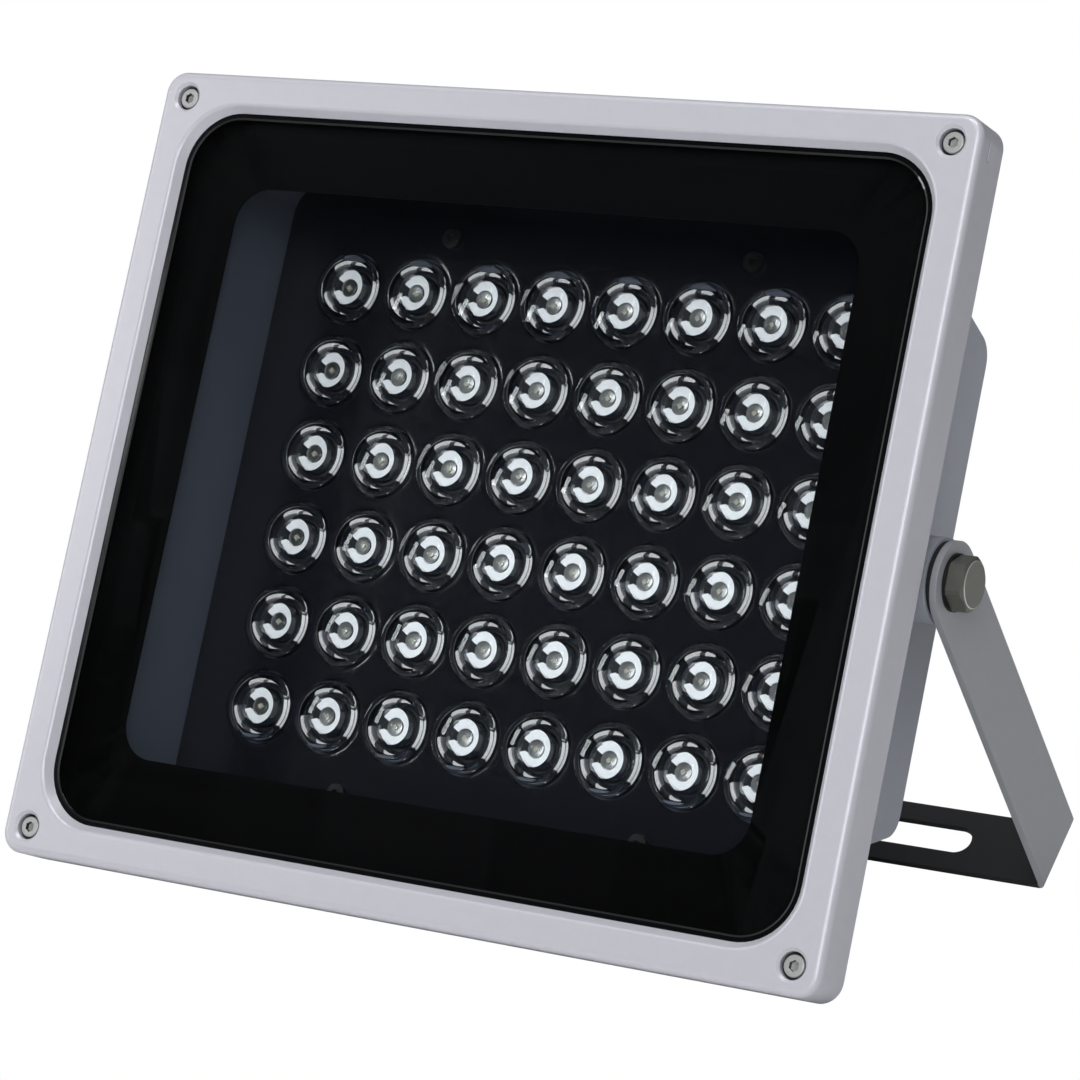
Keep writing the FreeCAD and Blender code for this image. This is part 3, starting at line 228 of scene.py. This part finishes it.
def mottle(tree, shader, colour, roughness, spread):
    """Faint uneven colour and gloss, as a moulded, coated or machined surface has."""
    place = tree.nodes.new("ShaderNodeTexCoord")
    noise = tree.nodes.new("ShaderNodeTexNoise")
    noise.inputs["Scale"].default_value = MOTTLE_SCALE
    noise.inputs["Detail"].default_value = MOTTLE_DETAIL
    tree.links.new(place.outputs["Object"], noise.inputs["Vector"])
    gloss = tree.nodes.new("ShaderNodeMapRange")
    gloss.inputs["To Min"].default_value = roughness * (1 - MOTTLE_GLOSS)
    gloss.inputs["To Max"].default_value = roughness * (1 + MOTTLE_GLOSS)
    tree.links.new(noise.outputs["Fac"], gloss.inputs["Value"])
    tree.links.new(gloss.outputs["Result"], shader.inputs["Roughness"])
    shade = tree.nodes.new("ShaderNodeValToRGB")
    ends = shade.color_ramp.elements
    ends[0].position, ends[1].position = MOTTLE_RANGE
    ends[0].color = (*((1 - spread) * part for part in colour), 1)
    ends[1].color = (*(min(1, (1 + spread) * part) for part in colour), 1)
    tree.links.new(noise.outputs["Fac"], shade.inputs["Fac"])
    tree.links.new(shade.outputs["Color"], shader.inputs["Base Color"])


def plain(name, colour, roughness, metallic=0.0, coat=0.0, specular=0.5, glow=0.0, spread=0.06):
    material, tree, shader = new_material(name)
    mottle(tree, shader, colour, roughness, spread)
    shader.inputs["Metallic"].default_value = metallic
    shader.inputs["Coat Weight"].default_value = coat
    shader.inputs["Coat Roughness"].default_value = COAT_ROUGHNESS
    shader.inputs["Specular IOR Level"].default_value = specular
    shader.inputs["Emission Color"].default_value = (*colour, 1)
    shader.inputs["Emission Strength"].default_value = glow
    return material


def paint_grain(tree, shader):
    """Fine surface noise over edges that look slightly rounded."""
    place = tree.nodes.new("ShaderNodeTexCoord")
    noise = tree.nodes.new("ShaderNodeTexNoise")
    noise.inputs["Scale"].default_value = GRAIN_SCALE
    noise.inputs["Detail"].default_value = GRAIN_DETAIL
    bump = tree.nodes.new("ShaderNodeBump")
    bump.inputs["Strength"].default_value = GRAIN_STRENGTH
    bump.inputs["Distance"].default_value = GRAIN_DEPTH
    tree.links.new(place.outputs["Object"], noise.inputs["Vector"])
    tree.links.new(noise.outputs["Fac"], bump.inputs["Height"])
    bevel = tree.nodes.new("ShaderNodeBevel")
    bevel.inputs["Radius"].default_value = EDGE_SOFTNESS
    bevel.samples = EDGE_SAMPLES
    tree.links.new(bevel.outputs["Normal"], bump.inputs["Normal"])
    tree.links.new(bump.outputs["Normal"], shader.inputs["Normal"])
    return noise


def paint(name, colour, roughness, metallic=0.0):
    """Satin sprayed paint: fine grain with a faint mottle in its gloss."""
    material = plain(name, colour, roughness, metallic, spread=PAINT_SPREAD)
    tree = material.node_tree
    shader = tree.nodes["Principled BSDF"]
    noise = paint_grain(tree, shader)
    gloss = tree.nodes.new("ShaderNodeMapRange")
    gloss.inputs["To Min"].default_value = roughness - PAINT_GLOSS
    gloss.inputs["To Max"].default_value = roughness + PAINT_GLOSS
    tree.links.new(noise.outputs["Fac"], gloss.inputs["Value"])
    tree.links.new(gloss.outputs["Result"], shader.inputs["Roughness"])
    return material


def clear(name, ior, tint=(1, 1, 1)):
    """A clear solid that bends what is seen through it and lets lamp light straight in."""
    material, tree, shader = new_material(name)
    shader.inputs["Base Color"].default_value = (*tint, 1)
    shader.inputs["Transmission Weight"].default_value = 1
    shader.inputs["IOR"].default_value = ior
    shader.inputs["Roughness"].default_value = 0
    through = tree.nodes.new("ShaderNodeBsdfTransparent")
    through.inputs["Color"].default_value = (*tint, 1)
    choose_by_ray(tree, "Is Shadow Ray", shader.outputs["BSDF"], through.outputs["BSDF"],
                  tree.nodes["Material Output"].inputs["Surface"])
    return material


BEZEL_PAINT = paint("bezel_paint", (0.56, 0.553, 0.605), 0.36, 0.25)
HOUSING_PAINT = paint("housing_paint", (0.44, 0.46, 0.51), 0.5, 0.2)
# Darker paint inside the housing's cavity: painted shade
INNER_SHADE_PAINT = paint("inner_painted_shade", (0.09, 0.1, 0.132), 0.5, 0.2)
BRACKET_PAINT = paint("bracket_paint", (0.37, 0.375, 0.40), 0.45, 0.2)
# Near-black on the bracket's base: painted shade
BASE_SHADE_PAINT = paint("base_painted_shade", (0.005, 0.0053, 0.006), 0.55)
BLACK_PRINT = plain("black_print", (0.0022, 0.0022, 0.0024), 0.5, specular=0.05)
BLACK_SHEET = plain("black_sheet", (0.006, 0.0065, 0.009), 0.12)
RUBBER = plain("seal_rubber", (0.012, 0.012, 0.013), 0.7)
LIP_RUBBER = plain("lip_rubber", (0.003, 0.003, 0.0035), 0.12, coat=0.6)
BOARD = plain("board_metal", (0.62, 0.63, 0.62), 0.35, 0.3)
PAD = plain("thermal_pad", (0.15, 0.18, 0.22), 0.8)
SCREW_STEEL = plain("screw_steel", (0.46, 0.46, 0.455), 0.4, 0.4)
BOLT_STEEL = plain("bolt_steel", (0.125, 0.125, 0.108), 0.4, 0.45)
# Light, shiny band on the bolt face's rounded edge: painted highlight
BOLT_EDGE_HIGHLIGHT = plain("bolt_edge_highlight", (0.62, 0.61, 0.57), 0.3, 0.6)
# The bolt's face: a lighter copy of the bolt steel, as painted light
BOLT_FACE_LIT = plain("bolt_face_painted_light", (0.19, 0.19, 0.165), 0.4, 0.45)
WASHER_STEEL = plain("washer_steel", (0.05, 0.05, 0.05), 0.4, 1.0)
# Lead tabs that glow though the LED is unlit: painted glints
GLOWING_TAB = plain("emitter_tab_glow", (0.9, 0.9, 0.92), 0.35, glow=0.45)
# Near-black walls in the screw sockets: painted shade
SOCKET_SHADE = plain("socket_painted_shade", (0.02, 0.02, 0.02), 0.35, 0.5)
# The unlit emitter's white frame glows faintly: painted light
GLOWING_CERAMIC = plain("emitter_ceramic", (0.88, 0.88, 0.9), 0.4, glow=0.06)
BOARD_BLACK = plain("star_black", (0.012, 0.013, 0.016), 0.35)
CUP = plain("cup_silver", (0.55, 0.55, 0.55), 0.3, 1.0)
PHOSPHOR = plain("phosphor", (0.42, 0.40, 0.33), 0.5)
WHITE_PLASTIC = plain("driver_plastic", (0.7, 0.7, 0.69), 0.3)
NYLON = plain("terminal_plastic", (0.6, 0.6, 0.56), 0.5)
WIRE = plain("wire_cover", (0.26, 0.01, 0.008), 0.45)
HOLDER = plain("lens_holder", (0.006, 0.008, 0.014), 0.25)
GLAND = plain("gland_plastic", (0.008, 0.008, 0.009), 0.38)
WINDOW_GLASS = clear("window_glass", 1.5, (0.93, 0.96, 0.97))
ACRYLIC = clear("lens_acrylic", 1.49)
SILICONE = clear("led_silicone", 1.42)

FINISHES = {
    "front_bezel": BEZEL_PAINT,
    "window_glass": WINDOW_GLASS,
    "glass_border": BLACK_PRINT,
    "window_gasket": RUBBER,
    "rear_housing": HOUSING_PAINT,
    "led_cover_plate": BLACK_SHEET,
    "led_board": BOARD,
    "thermal_pad": PAD,
    "led_lenses": ACRYLIC,
    "led_emitters": GLOWING_CERAMIC,
    "bezel_screws": SCREW_STEEL,
    "plate_screws": WASHER_STEEL,
    "board_screws": SCREW_STEEL,
    "driver_screws": SCREW_STEEL,
    "driver_case": WHITE_PLASTIC,
    "terminal_block": NYLON,
    "supply_wires": WIRE,
    "output_wires": WIRE,
    "gland_seal": RUBBER,
    "gland_body": GLAND,
    "gland_cap": GLAND,
    "gland_nut": GLAND,
    "friction_washer_right": RUBBER,
    "friction_washer_left": RUBBER,
    "lock_washer_right": WASHER_STEEL,
    "lock_washer_left": WASHER_STEEL,
    "pivot_bolt_right": BOLT_STEEL,
    "pivot_bolt_left": BOLT_STEEL,
    "bracket": BRACKET_PAINT,
}
for name, material in FINISHES.items():
    mesh = nodes[name].data
    mesh.materials.clear()
    mesh.materials.append(material)


def paint_faces(name, material, chosen):
    """A second material on the faces of a CAD piece chosen by their centre and normal in the head's frame."""
    obj = nodes[name]
    to_head = HEAD.inverted() @ obj.matrix_world
    obj.data.materials.append(material)
    for face in obj.data.polygons:
        if chosen(to_head @ face.center, to_head.to_3x3() @ face.normal):
            face.material_index = 1


def inside_cavity(point, normal):
    """The housing's floor and the inner side of its walls, in front of the LED board, which take a darker
    paint as painted shade.
    """
    wall = abs(normal.z) < 0.2 and normal.x * point.x + normal.y * point.y < 0
    floor = normal.z > 0.5
    return ((wall or floor) and point.z > -BOARD_DEPTH - FLOOR_PADDING
            and abs(point.x) < CAVITY[0] / 2 + CAVITY_EDGE and abs(point.y) < CAVITY[1] / 2 + CAVITY_EDGE)


def on_base(point, _):
    """The bracket's base between its arms, which takes a near-black painted shade."""
    along = (PIVOT_UP - point.y) * math.cos(BRACKET_ANGLE) - (point.z + PIVOT_DEPTH) * math.sin(BRACKET_ANGLE)
    bend = BRACKET_REACH - SHEET - BRACKET_BEND
    return bend < along < BRACKET_REACH - CUT_EDGE and abs(point.x) < ARM_INSIDE


# Painted shade: the cavity's floor and inner walls take the darker paint
paint_faces("rear_housing", INNER_SHADE_PAINT, inside_cavity)
# Painted shade: the bracket's base between its arms is near black
paint_faces("bracket", BASE_SHADE_PAINT, on_base)


# Mesh helpers

def add_object(name, mesh, material, body, place=None):
    """A new piece on a body; place is in the row frame."""
    if not mesh.materials:
        mesh.materials.append(material)
    obj = bpy.data.objects.new(name, mesh)
    obj.matrix_world = place or Matrix.Identity(4)
    bpy.context.scene.collection.objects.link(obj)
    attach(obj, body)
    return obj


def finished_mesh(name, built, smooth):
    """The mesh of a closed form, its faces turned outwards."""
    bmesh.ops.recalc_face_normals(built, faces=built.faces)
    mesh = bpy.data.meshes.new(name)
    built.to_mesh(mesh)
    built.free()
    mesh.polygons.foreach_set("use_smooth", [smooth] * len(mesh.polygons))
    return mesh


def mark_creases(mesh, angle=0.5):
    """Sharp edges where the faces meet at more than the angle."""
    built = bmesh.new()
    built.from_mesh(mesh)
    for edge in built.edges:
        edge.smooth = not (len(edge.link_faces) == 2 and edge.calc_face_angle(0) > angle)
    built.to_mesh(mesh)
    built.free()


def bridge(built, low, high):
    for i in range(len(low)):
        j = (i + 1) % len(low)
        built.faces.new((low[i], low[j], high[j], high[i]))


def spun(name, profile, segments=96, smooth=True):
    """A closed solid of revolution about z from (radius, height) points."""
    return turned(name, lambda angle: profile, segments, smooth)


def turned(name, section, segments=96, smooth=True):
    """A closed solid about z from the (radius, height) points of its section at each angle."""
    built = bmesh.new()
    turns = [2 * math.pi * i / segments for i in range(segments)]
    sections = [section(angle) for angle in turns]
    rings = []
    for level in range(len(sections[0])):
        if sections[0][level][0] < 1e-9:
            rings.append([built.verts.new((0, 0, sections[0][level][1]))])
            continue
        ring = []
        for angle, points in zip(turns, sections):
            radius, height = points[level]
            ring.append(built.verts.new((radius * math.cos(angle), radius * math.sin(angle), height)))
        rings.append(ring)
    for low, high in zip(rings[:-1], rings[1:]):
        if len(low) > 1 and len(high) > 1:
            bridge(built, low, high)
            continue
        for i in range(segments):
            j = (i + 1) % segments
            if len(low) == 1:
                built.faces.new((low[0], high[j], high[i]))
            else:
                built.faces.new((low[i], low[j], high[0]))
    return finished_mesh(name, built, smooth)


def loop_points(radius, across, up, level, segments=96):
    turns = [2 * math.pi / segments * i for i in range(segments)]
    return [(across + radius * math.cos(angle), up + radius * math.sin(angle), level) for angle in turns]


def rounded_loop(width, height, corner, level, steps=12):
    points = []
    for quarter, (side, end) in enumerate(((1, 1), (-1, 1), (-1, -1), (1, -1))):
        for step in range(steps + 1):
            angle = (quarter + step / steps) * math.pi / 2
            points.append((side * (width / 2 - corner) + corner * math.cos(angle),
                           end * (height / 2 - corner) + corner * math.sin(angle), level))
    return points


def vertex_loop(built, points):
    return [built.verts.new(point) for point in points]


def fill_between(built, loops):
    """Flat faces inside the first loop and outside the others."""
    edges = []
    for loop in loops:
        for first, second in zip(loop, loop[1:] + loop[:1]):
            edges.append(built.edges.get((first, second)) or built.edges.new((first, second)))
    bmesh.ops.triangle_fill(built, edges=edges, use_beauty=True)


# LED optics

def led_places():
    for row in range(LED_ROWS):
        for column in range(LED_COLUMNS):
            across = (column - (LED_COLUMNS - 1) / 2) * LED_PITCH[0]
            up = (row - (LED_ROWS - 1) / 2) * LED_PITCH[1] + SHIFT_UP
            yield across, up


def collimator_side(low, high, rise):
    """Curved side of the lens from its foot's radius up to its flange."""
    points = []
    for step in range(1, SIDE_STEPS + 1):
        share = step / SIDE_STEPS
        across = low + (high - low) * math.sin(share * math.pi / 2) ** SIDE_BULGE
        points.append((across, rise * share ** SIDE_RISE))
    return points


def lens_profile():
    """Collimator section from the rear well's centre round the outside to the front's centre."""
    points = [(0, WELL_TOP - WELL_BULGE)]
    for step in range(1, WELL_STEPS + 1):
        share = step / WELL_STEPS
        points.append((WELL_RADIUS * share, WELL_TOP - WELL_BULGE * (1 - share ** 2)))
    points += [(WELL_RADIUS + WELL_FLARE, 0), (FOOT_RADIUS, 0)]
    points += collimator_side(FOOT_RADIUS, LENS_RADIUS - FLANGE, FLANGE_TOP - FLANGE)
    points += [(LENS_RADIUS, FLANGE_TOP - FLANGE), (LENS_RADIUS, FLANGE_TOP - FLANGE_SOFT),
               (LENS_RADIUS - FLANGE_SOFT, FLANGE_TOP), (LENS_RADIUS - STEP_FOOT, FLANGE_TOP)]
    points += [(LENS_RADIUS - inset, LENS_HEIGHT - depth) for inset, depth in LENS_STEP]
    return points + [(0, LENS_HEIGHT)]


def holder_profile():
    """Black cup that carries the lens's flange: up its inside, out under the flange and down its outside."""
    ledge = FLANGE_TOP - FLANGE - HOLDER_GAP
    inner = FOOT_RADIUS + HOLDER_GAP
    rim = LENS_RADIUS - FLANGE + HOLDER_GAP
    outer = LENS_RADIUS - HOLDER_SIDE_GAP
    inside = [(FOOT_RADIUS, HOLDER_FOOT), (inner, HOLDER_FOOT)]
    inside += [(across, up + HOLDER_GAP) for across, up in collimator_side(inner, rim, ledge - HOLDER_FOOT)]
    return inside + [(rim, ledge), (outer, ledge), (outer, ledge - HOLDER_SKIRT),
                     (inner, 0), (FOOT_RADIUS, 0), (FOOT_RADIUS, HOLDER_FOOT)]


def arc_block(built, radii, levels, span):
    """A closed curved block about z between two radii, two heights and two angles in degrees."""
    steps = max(2, round((span[1] - span[0]) / DEGREES_PER_STEP))
    inner, outer = radii
    low, high = levels
    rings = []
    for step in range(steps + 1):
        angle = math.radians(span[0] + (span[1] - span[0]) * step / steps)
        corners = ((inner, low), (outer, low), (outer, high - BLOCK_SOFT), (outer - BLOCK_SOFT, high),
                   (inner + BLOCK_SOFT, high), (inner, high - BLOCK_SOFT))
        rings.append(vertex_loop(built, [(r * math.cos(angle), r * math.sin(angle), z) for r, z in corners]))
    for first, second in zip(rings[:-1], rings[1:]):
        bridge(built, first, second)
    built.faces.new(rings[0])
    built.faces.new(rings[-1][::-1])


def emitter_mesh():
    """White frame of the emitter, open at one side, with its lead tabs down the side and a sector on the
    tower's side; tabs and sector glow as painted glints.
    """
    built = bmesh.new()
    inner, outer = RING_RADII
    tab_radii = (TOWER_RADIUS + TAB_GAP, TOWER_RADIUS + TAB_OUT)
    arc_block(built, RING_RADII, (RING_LEVEL, RING_TOP), RING_SPAN)
    arc_block(built, (outer + TAB_GAP, outer + WALL_OUT), (RING_LEVEL - WALL_DROP, RING_TOP), WALL_SPAN)
    arc_block(built, (inner + BAR_IN, outer + BAR_OUT), (RING_LEVEL, RING_TOP - BAR_STEP), BAR_SPAN)
    for span in TAB_SPANS:
        arc_block(built, tab_radii, TAB_LEVELS, span)
    arc_block(built, tab_radii, GLOW_LEVELS, GLOW_SPAN)
    mesh = finished_mesh("emitter_frame", built, True)
    mesh.materials.append(GLOWING_CERAMIC)
    mesh.materials.append(GLOWING_TAB)
    # Painted glints: the tabs and the tower sector take the glowing material
    for face in mesh.polygons:
        if face.center.z < RING_LEVEL - 0.3 * MM:
            face.material_index = 1
    mark_creases(mesh)
    return mesh


def disc_section(radius, low, high):
    return [(0, low), (radius, low), (radius, high), (0, high)]


def make_leds():
    lens = spun("collimator", lens_profile())
    mark_creases(lens)
    arc = [math.pi / 2 * i / DOME_STEPS for i in range(DOME_STEPS)]
    cap = [(DOME_RADIUS * math.cos(angle), DOME_HEIGHT * math.sin(angle)) for angle in arc]
    dome = spun("led_dome", [(0, 0), *cap, (0, DOME_HEIGHT)], 48)
    mark_creases(dome)
    star = spun("led_star", disc_section(STAR_RADIUS, 0, STAR_THICKNESS), 6, False)
    tower = spun("led_tower", disc_section(TOWER_RADIUS, STAR_THICKNESS, RING_LEVEL), 64)
    mark_creases(tower)
    ring = emitter_mesh()
    cup = spun("led_cup", CUP_SECTION, 48)
    mark_creases(cup)
    die = spun("led_die", disc_section(DIE_RADIUS, 0, DIE_HEIGHT), 4, False)
    holder = spun("lens_holder", holder_profile(), 64)
    mark_creases(holder)
    for across, up in led_places():
        board = HEAD @ Matrix.Translation((across, up, -BOARD_DEPTH))
        foot = board @ Matrix.Translation((0, 0, EMITTER_HEIGHT))
        top = board @ Matrix.Translation((0, 0, RING_LEVEL))
        on_cup = top @ Matrix.Translation((0, 0, CUP_FLOOR))
        over_cup = top @ Matrix.Translation((0, 0, DOME_LEVEL))
        add_object("star", star, BOARD_BLACK, "head", board)
        add_object("tower", tower, BOARD_BLACK, "head", board)
        add_object("ring", ring, GLOWING_CERAMIC, "head", board)
        add_object("cup", cup, CUP, "head", top)
        add_object("die", die, PHOSPHOR, "head", on_cup)
        add_object("dome", dome, SILICONE, "head", over_cup)
        piece = add_object("lens", lens, ACRYLIC, "head", foot)
        add_object("lens_holder", holder, HOLDER, "head", foot)
        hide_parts("led_lenses", "led_emitters")


# Plate, seal lip and fasteners

def plate_screw_places():
    return [(side * PLATE_SCREW_ACROSS, end * PLATE_SCREW_UP) for side in (-1, 1) for end in (-1, 1)]


def make_cover_plate():
    """Perforated plate; each hole has a dished front edge that catches the light."""
    built = bmesh.new()
    front = -PLATE_DEPTH
    back = front - PLATE_THICKNESS
    outline = (CAVITY[0] - PLATE_FIT, CAVITY[1] - PLATE_FIT, CAVITY[2] - PLATE_FIT / 2)
    outer = [vertex_loop(built, rounded_loop(*outline, level)) for level in (front, back)]
    fronts = [outer[0]]
    backs = [outer[1]]
    holes = [(place, HOLE_RADIUS, HOLE_EDGE) for place in led_places()]
    holes += [(place, SCREW_HOLE_RADIUS, ((0.0, 0.0),)) for place in plate_screw_places()]
    for (across, up), radius, edge in holes:
        levels = [(radius + wider, front - sunk) for wider, sunk in edge] + [(radius, back)]
        rings = [vertex_loop(built, loop_points(wide, across, up, level)) for wide, level in levels]
        for upper, lower in zip(rings[:-1], rings[1:]):
            bridge(built, upper, lower)
        fronts.append(rings[0])
        backs.append(rings[-1])
    bridge(built, outer[1], outer[0])
    fill_between(built, fronts)
    fill_between(built, backs)
    mesh = finished_mesh("cover_plate", built, True)
    mark_creases(mesh)
    plate = add_object("cover_plate", mesh, BLACK_SHEET, "head", HEAD.copy())
    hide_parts("led_cover_plate")


def make_seal_lip():
    """Black silicone lip on the glass along the bezel's opening; its inner slope catches the light."""
    built = bmesh.new()
    loops = []
    for inset, rise in LIP_SECTION:
        size = (OPENING[0] - 2 * inset, OPENING[1] - 2 * inset, OPENING[2] - inset)
        loops.append(vertex_loop(built, rounded_loop(*size, rise - GLASS_FRONT)))
    for low, high in zip(loops, loops[1:] + loops[:1]):
        bridge(built, low, high)
    mesh = finished_mesh("seal_lip", built, False)
    add_object("seal_lip", mesh, LIP_RUBBER, "head", HEAD.copy())


def hex_radius(flats, angle):
    """Distance from the middle of a hexagon to its side."""
    sixth = math.pi / 3
    return flats / 2 / math.cos((angle + sixth / 2) % sixth - sixth / 2)


def bolt_section(angle):
    """Hexagon bolt, its corners turned down and its face's edge rounded."""
    side = min(hex_radius(BOLT_FLATS, angle), BOLT_LIMIT)
    crest = BOLT_HEAD - (side - BOLT_FACE) * BOLT_SLOPE
    return [(0, -BOLT_LENGTH), (BOLT_SHANK, -BOLT_LENGTH), (BOLT_SHANK, 0),
            (side, 0), (side, crest - BOLT_SOFT), (side - BOLT_SOFT, crest),
            (BOLT_FACE, BOLT_HEAD - 0.18 * MM), (BOLT_FACE - 0.28 * MM, BOLT_HEAD), (0, BOLT_HEAD)]


def make_bolts():
    bolt = turned("bolt", bolt_section, 96)
    mark_creases(bolt, BOLT_CREASE)
    bolt.materials.append(BOLT_STEEL)
    bolt.materials.append(BOLT_EDGE_HIGHLIGHT)
    bolt.materials.append(BOLT_FACE_LIT)
    for face in bolt.polygons:
        across = math.hypot(face.center.x, face.center.y)
        # Painted light: the face takes the lighter copy of the steel
        if face.center.z > BOLT_HEAD - 0.01 * MM:
            face.material_index = 2
        # Painted highlight: the ring on the face's rounded edge takes the light band
        elif BOLT_FACE - 0.3 * MM < across < BOLT_FACE + 0.02 * MM and face.center.z > BOLT_HEAD / 2:
            face.material_index = 1
    for side, name in ((1, "right"), (-1, "left")):
        low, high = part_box("pivot_bolt_" + name)
        base = (high[0] if side > 0 else -low[0]) - BOLT_HEAD
        place = Matrix.Translation((side * base, pivot.y, pivot.z)) @ Matrix.Rotation(
            side * math.pi / 2, 4, "Y") @ Matrix.Rotation(side * BOLT_TURN, 4, "Z")
        piece = add_object("bolt_" + name, bolt, BOLT_STEEL, "head", place)
        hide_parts("pivot_bolt_" + name)


def screw_section(angle):
    """Cap screw with a hexagon socket, from its tip up to the socket's floor."""
    socket = hex_radius(SCREW_SOCKET, angle)
    return [(0, -8.5 * MM), (1.5 * MM, -8.5 * MM), (1.5 * MM, 0), (2.8 * MM, 0), (2.8 * MM, 2.55 * MM),
            (2.7 * MM, 2.85 * MM), (2.45 * MM, 3 * MM), (socket + 0.15 * MM, 3 * MM), (socket, 2.85 * MM),
            (socket, 1.6 * MM), (0, 1.3 * MM)]


def make_bezel_screws():
    """Steel cap screws, each in a black seal ring at the bottom of its counterbore."""
    screw = turned("cap_screw", screw_section, 72)
    mark_creases(screw)
    seal = spun("screw_seal", SEAL_SECTION, 48)
    mark_creases(seal)
    screw.materials.append(SCREW_STEEL)
    screw.materials.append(SOCKET_SHADE)
    # Painted shade: the socket's walls take the near-black material
    for face in screw.polygons:
        across = math.hypot(face.center.x, face.center.y)
        if across < SOCKET_REACH and abs(face.normal.z) < 0.5 and face.center.z > SOCKET_FLOOR:
            face.material_index = 1
    for side in (-1, 1):
        for end in (-1, 1):
            place = HEAD @ Matrix.Translation((side * SCREW_PLACE[0], end * SCREW_PLACE[1], -SCREW_SEAT))
            piece = add_object("cap_screw", screw, SCREW_STEEL, "head", place)
            add_object("screw_seal", seal, RUBBER, "head", place)
            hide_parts("bezel_screws")


make_leds()
make_cover_plate()
make_seal_lip()
make_bezel_screws()
make_bolts()


# Camera

def make_camera():
    camera = bpy.data.cameras.new("camera")
    camera.lens = CAMERA_LENS
    camera.sensor_width = CAMERA_SENSOR
    obj = bpy.data.objects.new("camera", camera)
    bpy.context.scene.collection.objects.link(obj)
    back = -Vector(CAMERA_FORWARD).normalized()
    right = Vector(CAMERA_UP).cross(back).normalized()
    up = back.cross(right)
    turn = Matrix((right, up, back)).transposed()
    obj.matrix_world = HEAD @ Matrix.Translation(CAMERA_PLACE) @ turn.to_4x4()
    bpy.context.scene.camera = obj


make_camera()


# Light and surroundings

def soft_box(name, place, target, size, power):
    lamp = bpy.data.lights.new(name, "AREA")
    lamp.shape = "RECTANGLE"
    lamp.size, lamp.size_y = size
    lamp.energy = power
    obj = bpy.data.objects.new(name, lamp)
    bpy.context.scene.collection.objects.link(obj)
    aim = Vector(target) - Vector(place)
    obj.matrix_world = Matrix.Translation(place) @ aim.to_track_quat("-Z", "Y").to_matrix().to_4x4()
    return obj


def head_box(name, place, size, power):
    """A soft box placed in the head's frame, aimed at the window."""
    return soft_box(name, HEAD @ Vector(place), HEAD.translation, size, power)


front_fill = head_box("front_fill", place=(0.35, 0.3, 1.85), size=(1.0, 1.0), power=16)
front_fill.visible_glossy = False
front_fill.visible_transmission = False
head_box("key", place=(0.95, 0.2, 1.62), size=(0.3, 1.3), power=7)
head_box("left_strip", place=(-1.65, 0.1, 1.05), size=(0.2, 1.2), power=4)
head_box("spark", place=(-1.4, 0.24, 1.44), size=(0.1, 0.3), power=1.4)
soft_box("top", place=(0.1, -0.2, 1.9), target=(0, 0, 0.1), size=(1.4, 0.5), power=11)


def around_window(tree):
    """World strength: dark where the window mirrors it, bright in a ring about that and dim behind."""
    place = tree.nodes.new("ShaderNodeTexCoord")
    aim = tree.nodes.new("ShaderNodeVectorMath")
    aim.operation = "DOT_PRODUCT"
    aim.inputs[1].default_value = MIRRORED
    ramp = tree.nodes.new("ShaderNodeValToRGB")
    share = tree.nodes.new("ShaderNodeMapRange")
    share.inputs["From Min"].default_value = -1
    share.inputs["From Max"].default_value = 1
    stops = ramp.color_ramp.elements
    for stop, (_, strength) in zip(stops, (WORLD_STOPS[0], WORLD_STOPS[-1])):
        stop.color = (strength, strength, strength, 1)
    for position, strength in WORLD_STOPS[1:-1]:
        stops.new((position + 1) / 2).color = (strength, strength, strength, 1)
    tree.links.new(place.outputs["Generated"], aim.inputs[0])
    tree.links.new(aim.outputs["Value"], share.inputs["Value"])
    tree.links.new(share.outputs["Result"], ramp.inputs["Fac"])
    return ramp.outputs["Color"]


def make_world():
    """Surroundings that light the part, and plain white where the camera sees them."""
    world = bpy.data.worlds.new("surroundings")
    bpy.context.scene.world = world
    world.use_nodes = True
    tree = world.node_tree
    tree.nodes.clear()
    out = tree.nodes.new("ShaderNodeOutputWorld")
    lit = tree.nodes.new("ShaderNodeBackground")
    lit.inputs["Color"].default_value = WORLD_TINT
    tree.links.new(around_window(tree), lit.inputs["Strength"])
    white = tree.nodes.new("ShaderNodeBackground")
    white.inputs["Color"].default_value = (1, 1, 1, 1)
    white.inputs["Strength"].default_value = 1.0
    choose_by_ray(tree, "Is Camera Ray", lit.outputs["Background"], white.outputs["Background"],
                  out.inputs["Surface"])


make_world()


def make_floor():
    """A grey floor that looks white to the camera."""
    mesh = bpy.data.meshes.new("floor")
    corners = [(side * FLOOR_HALF, end * FLOOR_HALF, 0) for side, end in ((-1, -1), (1, -1), (1, 1), (-1, 1))]
    mesh.from_pydata(corners, [], [(0, 1, 2, 3)])
    material, tree, shader = new_material("floor")
    shader.inputs["Base Color"].default_value = (FLOOR_GREY, FLOOR_GREY, FLOOR_GREY, 1)
    shader.inputs["Roughness"].default_value = FLOOR_ROUGHNESS
    white = tree.nodes.new("ShaderNodeEmission")
    white.inputs["Strength"].default_value = 1.0
    choose_by_ray(tree, "Is Camera Ray", shader.outputs["BSDF"], white.outputs["Emission"],
                  tree.nodes["Material Output"].inputs["Surface"])
    mesh.materials.append(material)
    floor = bpy.data.objects.new("floor", mesh)
    bpy.context.scene.collection.objects.link(floor)


make_floor()

bpy.context.scene.view_settings.view_transform = "Standard"
